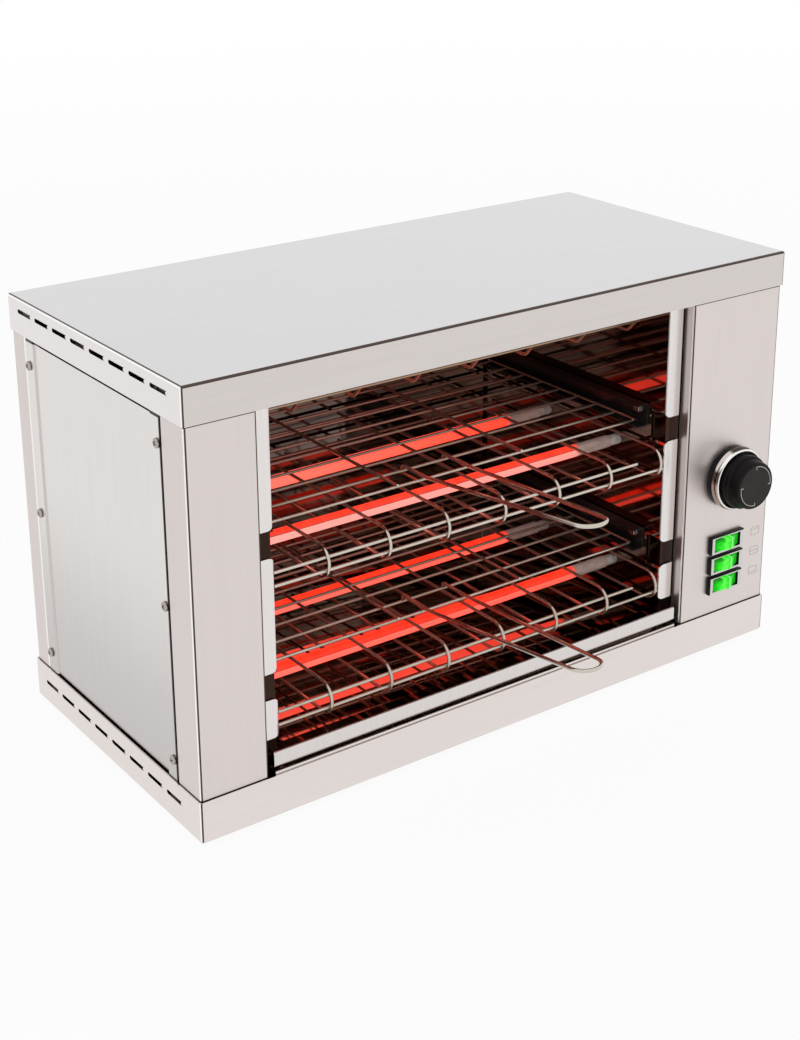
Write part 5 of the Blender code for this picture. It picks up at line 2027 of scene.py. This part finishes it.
@dataclass
class RockerSwitch(SubAssembly):
    """A lit rocker switch: black frame with a pale face, green lens and a sign beside it."""

    position: str
    bar_share: float
    edge: float = 0.0003
    face_thickness: float = 0.0004
    shade_inset: float = 0.0008
    face_lap: float = 0.0001
    face_round: float = 0.00012
    body_width: float = 0.030
    body_height: float = 0.0118
    body_setback: float = 0.0006
    window_width: float = 0.0262
    window_height: float = 0.0102
    window_lap: float = 0.0002
    pocket_depth: float = 0.009
    cut_past: float = 0.002
    rocker_width: float = 0.0252
    rocker_height: float = 0.0092
    ridge: float = 0.0065
    ridge_round: float = 0.0012
    shoulder: float = 0.0023
    back: float = 0.003
    lens_round: float = 0.0004
    lens_angle: float = math.radians(50)
    tilt: float = math.radians(7)
    pivot_setback: float = 0.003
    sign_x: float = 0.2378
    sign_width: float = 0.0086
    sign_height: float = 0.0062
    sign_line: float = 0.0004
    sign_corner: float = 0.0013

    def build(self) -> None:
        """Makes the frame with its face, the lens and the sign."""
        box = Box(f"switch_housing_{self.position}")
        panel = Box("control_panel").low.y
        face = box.low.y + self.face_thickness
        self.build_frame(box, face, panel - TOUCH)
        self.build_face(box, face)
        self.build_lens(box)
        self.build_sign(Vector((self.sign_x, panel - MERGE_DISTANCE, box.centre.z)))

    def window(self, box: Box, front: float, back: float, lap: float = 0.0) -> Item:
        """The tool that cuts the window from one depth to another."""
        half = Vector((self.window_width / 2 + lap, 0, self.window_height / 2 + lap))
        return block("window", box.axis_at(front) - half, box.axis_at(back) + half)

    def build_frame(self, box: Box, face: float, bezel_back: float) -> None:
        """Joins the bezel and the body, and sinks the window into them.

        Args:
            box: The switch's box.
            face: The depth of the bezel's front.
            bezel_back: The depth of its back.
        """
        low, high = box.low, box.high
        bezel = block("bezel", (low.x, face, low.z), (high.x, bezel_back, high.z))
        half = Vector((self.body_width / 2, 0, self.body_height / 2))
        start = box.axis_at(face + self.body_setback) - half
        bezel = combined(bezel, block("body", start, box.axis_at(high.y) + half), "UNION")
        window = self.window(box, face - self.cut_past, face + self.pocket_depth)
        bezel = bevelled(combined(bezel, window), self.edge)
        node = f"switch_housing_{self.position}"
        self.place(bezel, f"switch_frame_{self.position}", "black_moulding", replaces=node)

    def build_face(self, box: Box, face: float) -> None:
        """Lays the pale face on the bezel, inset at its top and left so that the black bezel shows
        there as the switch's shade.

        Args:
            box: The switch's box.
            face: The depth of the bezel's front.
        """
        low, high = box.low, box.high
        plate = block(
            "face",
            # The inset at the top and left leaves black bezel showing as painted shade
            (low.x + self.shade_inset, low.y, low.z + self.face_lap),
            (high.x - self.face_lap, face - MERGE_DISTANCE, high.z - self.shade_inset),
        )
        past = self.cut_past
        plate = combined(plate, self.window(box, low.y - past, face + past, self.window_lap))
        bevelled(plate, self.face_round, segments=1)
        self.place(plate, f"switch_face_{self.position}", "switch_silver")

    def build_lens(self, box: Box) -> None:
        """Shapes the lens from a block: raised ridge, round ends and soft edges.

        Args:
            box: The switch's box.
        """
        node = f"rocker_{self.position}"
        pivot = Vector((box.centre.x, box.low.y + self.pivot_setback, Box(node).centre.z))
        wide, high = self.rocker_width / 2, self.rocker_height / 2
        lens = opened(block("lens", (-wide, -self.shoulder, -high), (wide, self.back, high)))
        bpy.ops.mesh.bisect(plane_co=(0, 0, 0), plane_no=(1, 0, 0))
        pick(
            lens,
            "EDGE",
            lambda *ends: all(abs(end.x) < MERGE_DISTANCE and end.y < 0 for end in ends),
        )
        bpy.ops.transform.translate(value=(0, self.shoulder - self.ridge, 0))
        bpy.ops.mesh.bevel(offset=self.ridge_round, segments=3)
        bpy.ops.object.mode_set(mode="OBJECT")
        bevelled(lens, self.lens_round, angle=self.lens_angle)
        lens.matrix_world = Matrix.Translation(pivot) @ Matrix.Rotation(self.tilt, 4, "Z")
        self.place(lens, f"switch_lens_{self.position}", "green_lens", node, replaces=node)

    def build_sign(self, middle: Vector) -> None:
        """Draws a rounded square with one bar at the height that the switch stands for.

        Args:
            middle: The middle of the sign.
        """
        right = Axis.X.vector
        across, down = (
            size - 2 * self.sign_corner for size in (self.sign_width, self.sign_height)
        )
        start = middle + Vector((-across / 2, 0, self.sign_height / 2))
        bender = WireBender("sign", self.sign_line, start, right, sides=4)
        for straight in (across, down, across, down):
            bender.run(straight).bend(self.sign_corner, math.pi / 2, Axis.Y.vector)
        outline = bender.cut_off()
        rise = self.sign_height * (self.bar_share - 0.5)
        start = middle + Vector((-self.sign_width / 2, 0, rise))
        bar = WireBender("bar", self.sign_line, start, right, sides=4).run(self.sign_width)
        sign = joined((outline, bar.cut_off()))
        self.place(sign, f"switch_sign_{self.position}", "grey_marking")


@dataclass
class MainsSide(SubAssembly):
    """The cable gland and the terminal block."""

    carried = {"pale_moulding": ("terminal_block",)}
    flange: float = 0.003
    flange_radius: float = 0.011
    flange_round: float = 0.0012
    flange_face: float = 0.00946
    neck_radius: float = 0.008
    mouth_radius: float = 0.005625
    mouth_depth: float = 0.0008
    bore_radius: float = 0.0045
    edge: float = 0.0003

    def build(self) -> None:
        """Turns the gland with a rounded flange."""
        box = Box("cable_gland")
        length = box.depth
        lathe = Lathe("gland", box.axis_at(box.low.y), Axis.Y.vector, self.neck_radius)
        lathe.profile(
            (
                (self.neck_radius, length - self.flange),
                (self.flange_radius, length - self.flange),
                (self.flange_radius, length - self.flange_round),
                (self.flange_face, length),
                (self.mouth_radius, length),
                (self.bore_radius, length - self.mouth_depth),
                (self.bore_radius, 0),
                (self.neck_radius, 0),
            )
        )
        gland = bevelled(lathe.part_off(), self.edge)
        self.place(gland, "gland_body", "black_moulding", replaces="cable_gland")


@dataclass
class Feet(SubAssembly):
    """Four rubber feet with a pressed rim and a screw well."""

    rim_share: float = 0.2
    taper: float = 0.0015
    well_radius: float = 0.0035
    well_depth: float = 0.002
    edge: float = 0.0004

    def build(self) -> None:
        """Turns one foot over each packed one."""
        for name in ("front_left", "front_right", "rear_left", "rear_right"):
            box = Box(f"foot_{name}")
            radius, height = box.radius, box.height
            top = Vector((box.centre.x, box.centre.y, box.high.z))
            lathe = Lathe("foot", top, -Axis.Z.vector, radius)
            lathe.to(radius, height * self.rim_share).to(radius - self.taper, height)
            lathe.to(self.well_radius, height)
            lathe.to(self.well_radius, height - self.well_depth).to(0, height - self.well_depth)
            foot = bevelled(lathe.part_off(), self.edge)
            self.place(foot, f"rubber_foot_{name}", "foot_rubber", replaces=f"foot_{name}")


@dataclass
class Studio:
    """Pale floor, white surround, soft lamps and the camera."""

    frame_height: float = 1040.0
    focal_pixels: float = 1779.65
    axis_pixel: float = 374.0
    azimuth: float = math.radians(-35.57)
    elevation: float = math.radians(18.93)
    roll: float = math.radians(-0.35)
    distance: float = 1.2672
    target: Triple = (-0.00941, 0.060375, 0.23557)
    sensor: float = 36.0
    floor_size: float = 60.0
    floor_tint: Colour = (0.92, 0.92, 0.92)
    floor_lift: float = 0.92
    surround: float = 0.62
    far_from: float = 1.2
    far_until: float = 3.6
    lamp_aim: Triple = (0, 0.05, 0.1)
    key_lamp: Triple = (-2.4, -2.6, 3.4)
    key_size: float = 3.0
    key_power: float = 31
    fill_lamp: Triple = (3.0, -1.8, 2.4)
    fill_size: float = 2.4
    fill_power: float = 18

    def build(self) -> None:
        """Sets up everything round the object."""
        self.build_floor()
        self.build_surround()
        self.build_lamp("key_lamp", self.key_lamp, self.key_size, self.key_power)
        self.build_lamp("fill_lamp", self.fill_lamp, self.fill_size, self.fill_power)
        self.build_camera()

    def build_floor(self) -> None:
        """Lays the floor, white to the camera but for the object's shadow."""
        deselect_all()
        bpy.ops.mesh.primitive_plane_add(size=self.floor_size, location=(0, 0, 0))
        floor = bpy.context.object
        floor.name = "studio_floor"
        surface = Surface("floor_paper")
        mottle = surface.noise(3)
        tint = surface.mix(mottle, self.floor_tint, dimmed(self.floor_tint, 0.985))
        surface.set(Base_Color=tint, Roughness=0.9, Specular_IOR_Level=0.0)
        reach = surface.node("VectorMath")
        reach.operation = "LENGTH"
        surface.fill(reach.inputs[0], surface.place)
        ends = (self.far_from, self.far_until, self.floor_lift, 1.0)
        lift = surface.ranged(reach.outputs["Value"], *ends, smooth=True)
        seen = surface.maths("MINIMUM", surface.in_sight(), 1.0)
        share = surface.maths("MULTIPLY", seen, lift)
        white = surface.node("Emission", Color=WHITE)
        blend = surface.node("MixShader", Fac=share)
        surface.fill(blend.inputs[1], surface.shader.outputs["BSDF"])
        surface.fill(blend.inputs[2], white.outputs["Emission"])
        output = surface.tree.nodes["Material Output"]
        surface.fill(output.inputs["Surface"], blend.outputs["Shader"])
        floor.data.materials.append(surface.material)
        floor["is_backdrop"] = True

    def build_surround(self) -> None:
        """Makes the world white to the camera and in reflections, and softer as light."""
        world = bpy.data.worlds.new("white_surround")
        world.use_nodes = True
        patch = Patch(world.node_tree)
        inputs = world.node_tree.nodes["Background"].inputs
        patch.fill(inputs["Color"], WHITE)
        strength = patch.ranged(patch.in_sight(), 0.0, 1.0, self.surround, 1.0)
        patch.fill(inputs["Strength"], strength)
        bpy.context.scene.world = world

    def build_lamp(self, name: str, place: Triple, size: float, power: float) -> None:
        """Hangs one soft square lamp.

        Args:
            name: The lamp's name.
            place: Where it hangs.
            size: The side of its square.
            power: Its power in watts.
        """
        light = bpy.data.lights.new(name, "AREA")
        light.shape = "SQUARE"
        light.size = size
        light.energy = power
        item = bpy.data.objects.new(name, light)
        item.location = place
        item.visible_glossy = False
        away = Vector(place) - Vector(self.lamp_aim)
        item.rotation_euler = away.to_track_quat("Z", "Y").to_euler()
        bpy.context.scene.collection.objects.link(item)

    def build_camera(self) -> None:
        """Sets the camera at the photograph's angle."""
        azimuth, elevation, roll = self.azimuth, self.elevation, self.roll
        flat = math.cos(elevation)
        back = Vector(
            (math.sin(azimuth) * flat, -math.cos(azimuth) * flat, math.sin(elevation))
        )
        right = Vector((math.cos(azimuth), math.sin(azimuth), 0))
        up = back.cross(right)
        across = right * math.cos(roll) + up * math.sin(roll)
        upward = -right * math.sin(roll) + up * math.cos(roll)
        eye = Vector(self.target) + back * self.distance
        camera = bpy.data.cameras.new("camera")
        camera.sensor_fit = "VERTICAL"
        camera.sensor_height = self.sensor
        camera.lens = self.sensor * self.focal_pixels / self.frame_height
        camera.shift_y = (self.axis_pixel - self.frame_height / 2) / self.frame_height
        camera.clip_start = 0.01
        item = bpy.data.objects.new("camera", camera)
        turn = Matrix((across, upward, back)).transposed().to_4x4()
        item.matrix_world = Matrix.Translation(eye) @ turn
        bpy.context.scene.collection.objects.link(item)
        bpy.context.scene.camera = item


def corners(bounds: Sequence[Sequence[float]]) -> list[list[float]]:
    """A box's two corners as plain lists."""
    return [[float(value) for value in corner] for corner in bounds]


def main() -> None:
    """Builds and dresses every sub-assembly."""
    logging.basicConfig(level=logging.INFO, format="%(name)s: %(message)s")
    bpy.context.scene.view_settings.view_transform = "Standard"
    palette = Palette()
    bars = {"upper": 0.72, "middle": 0.5, "lower": 0.28}
    for part in (
        Casing(palette),
        CoverScrews(palette),
        Cavity(palette),
        HeatingTubes(palette),
        TubeGuards(palette),
        *(Rack(palette, deck) for deck in Deck),
        CrumbTray(palette),
        TimerControl(palette),
        *(RockerSwitch(palette, position, share) for position, share in bars.items()),
        MainsSide(palette),
        Feet(palette),
    ):
        part.dress()
        part.build()
    Studio().build()
    {"cad": corners(CAD_BOX), "visual": corners(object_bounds())}


if __name__ == "__main__":
    main()
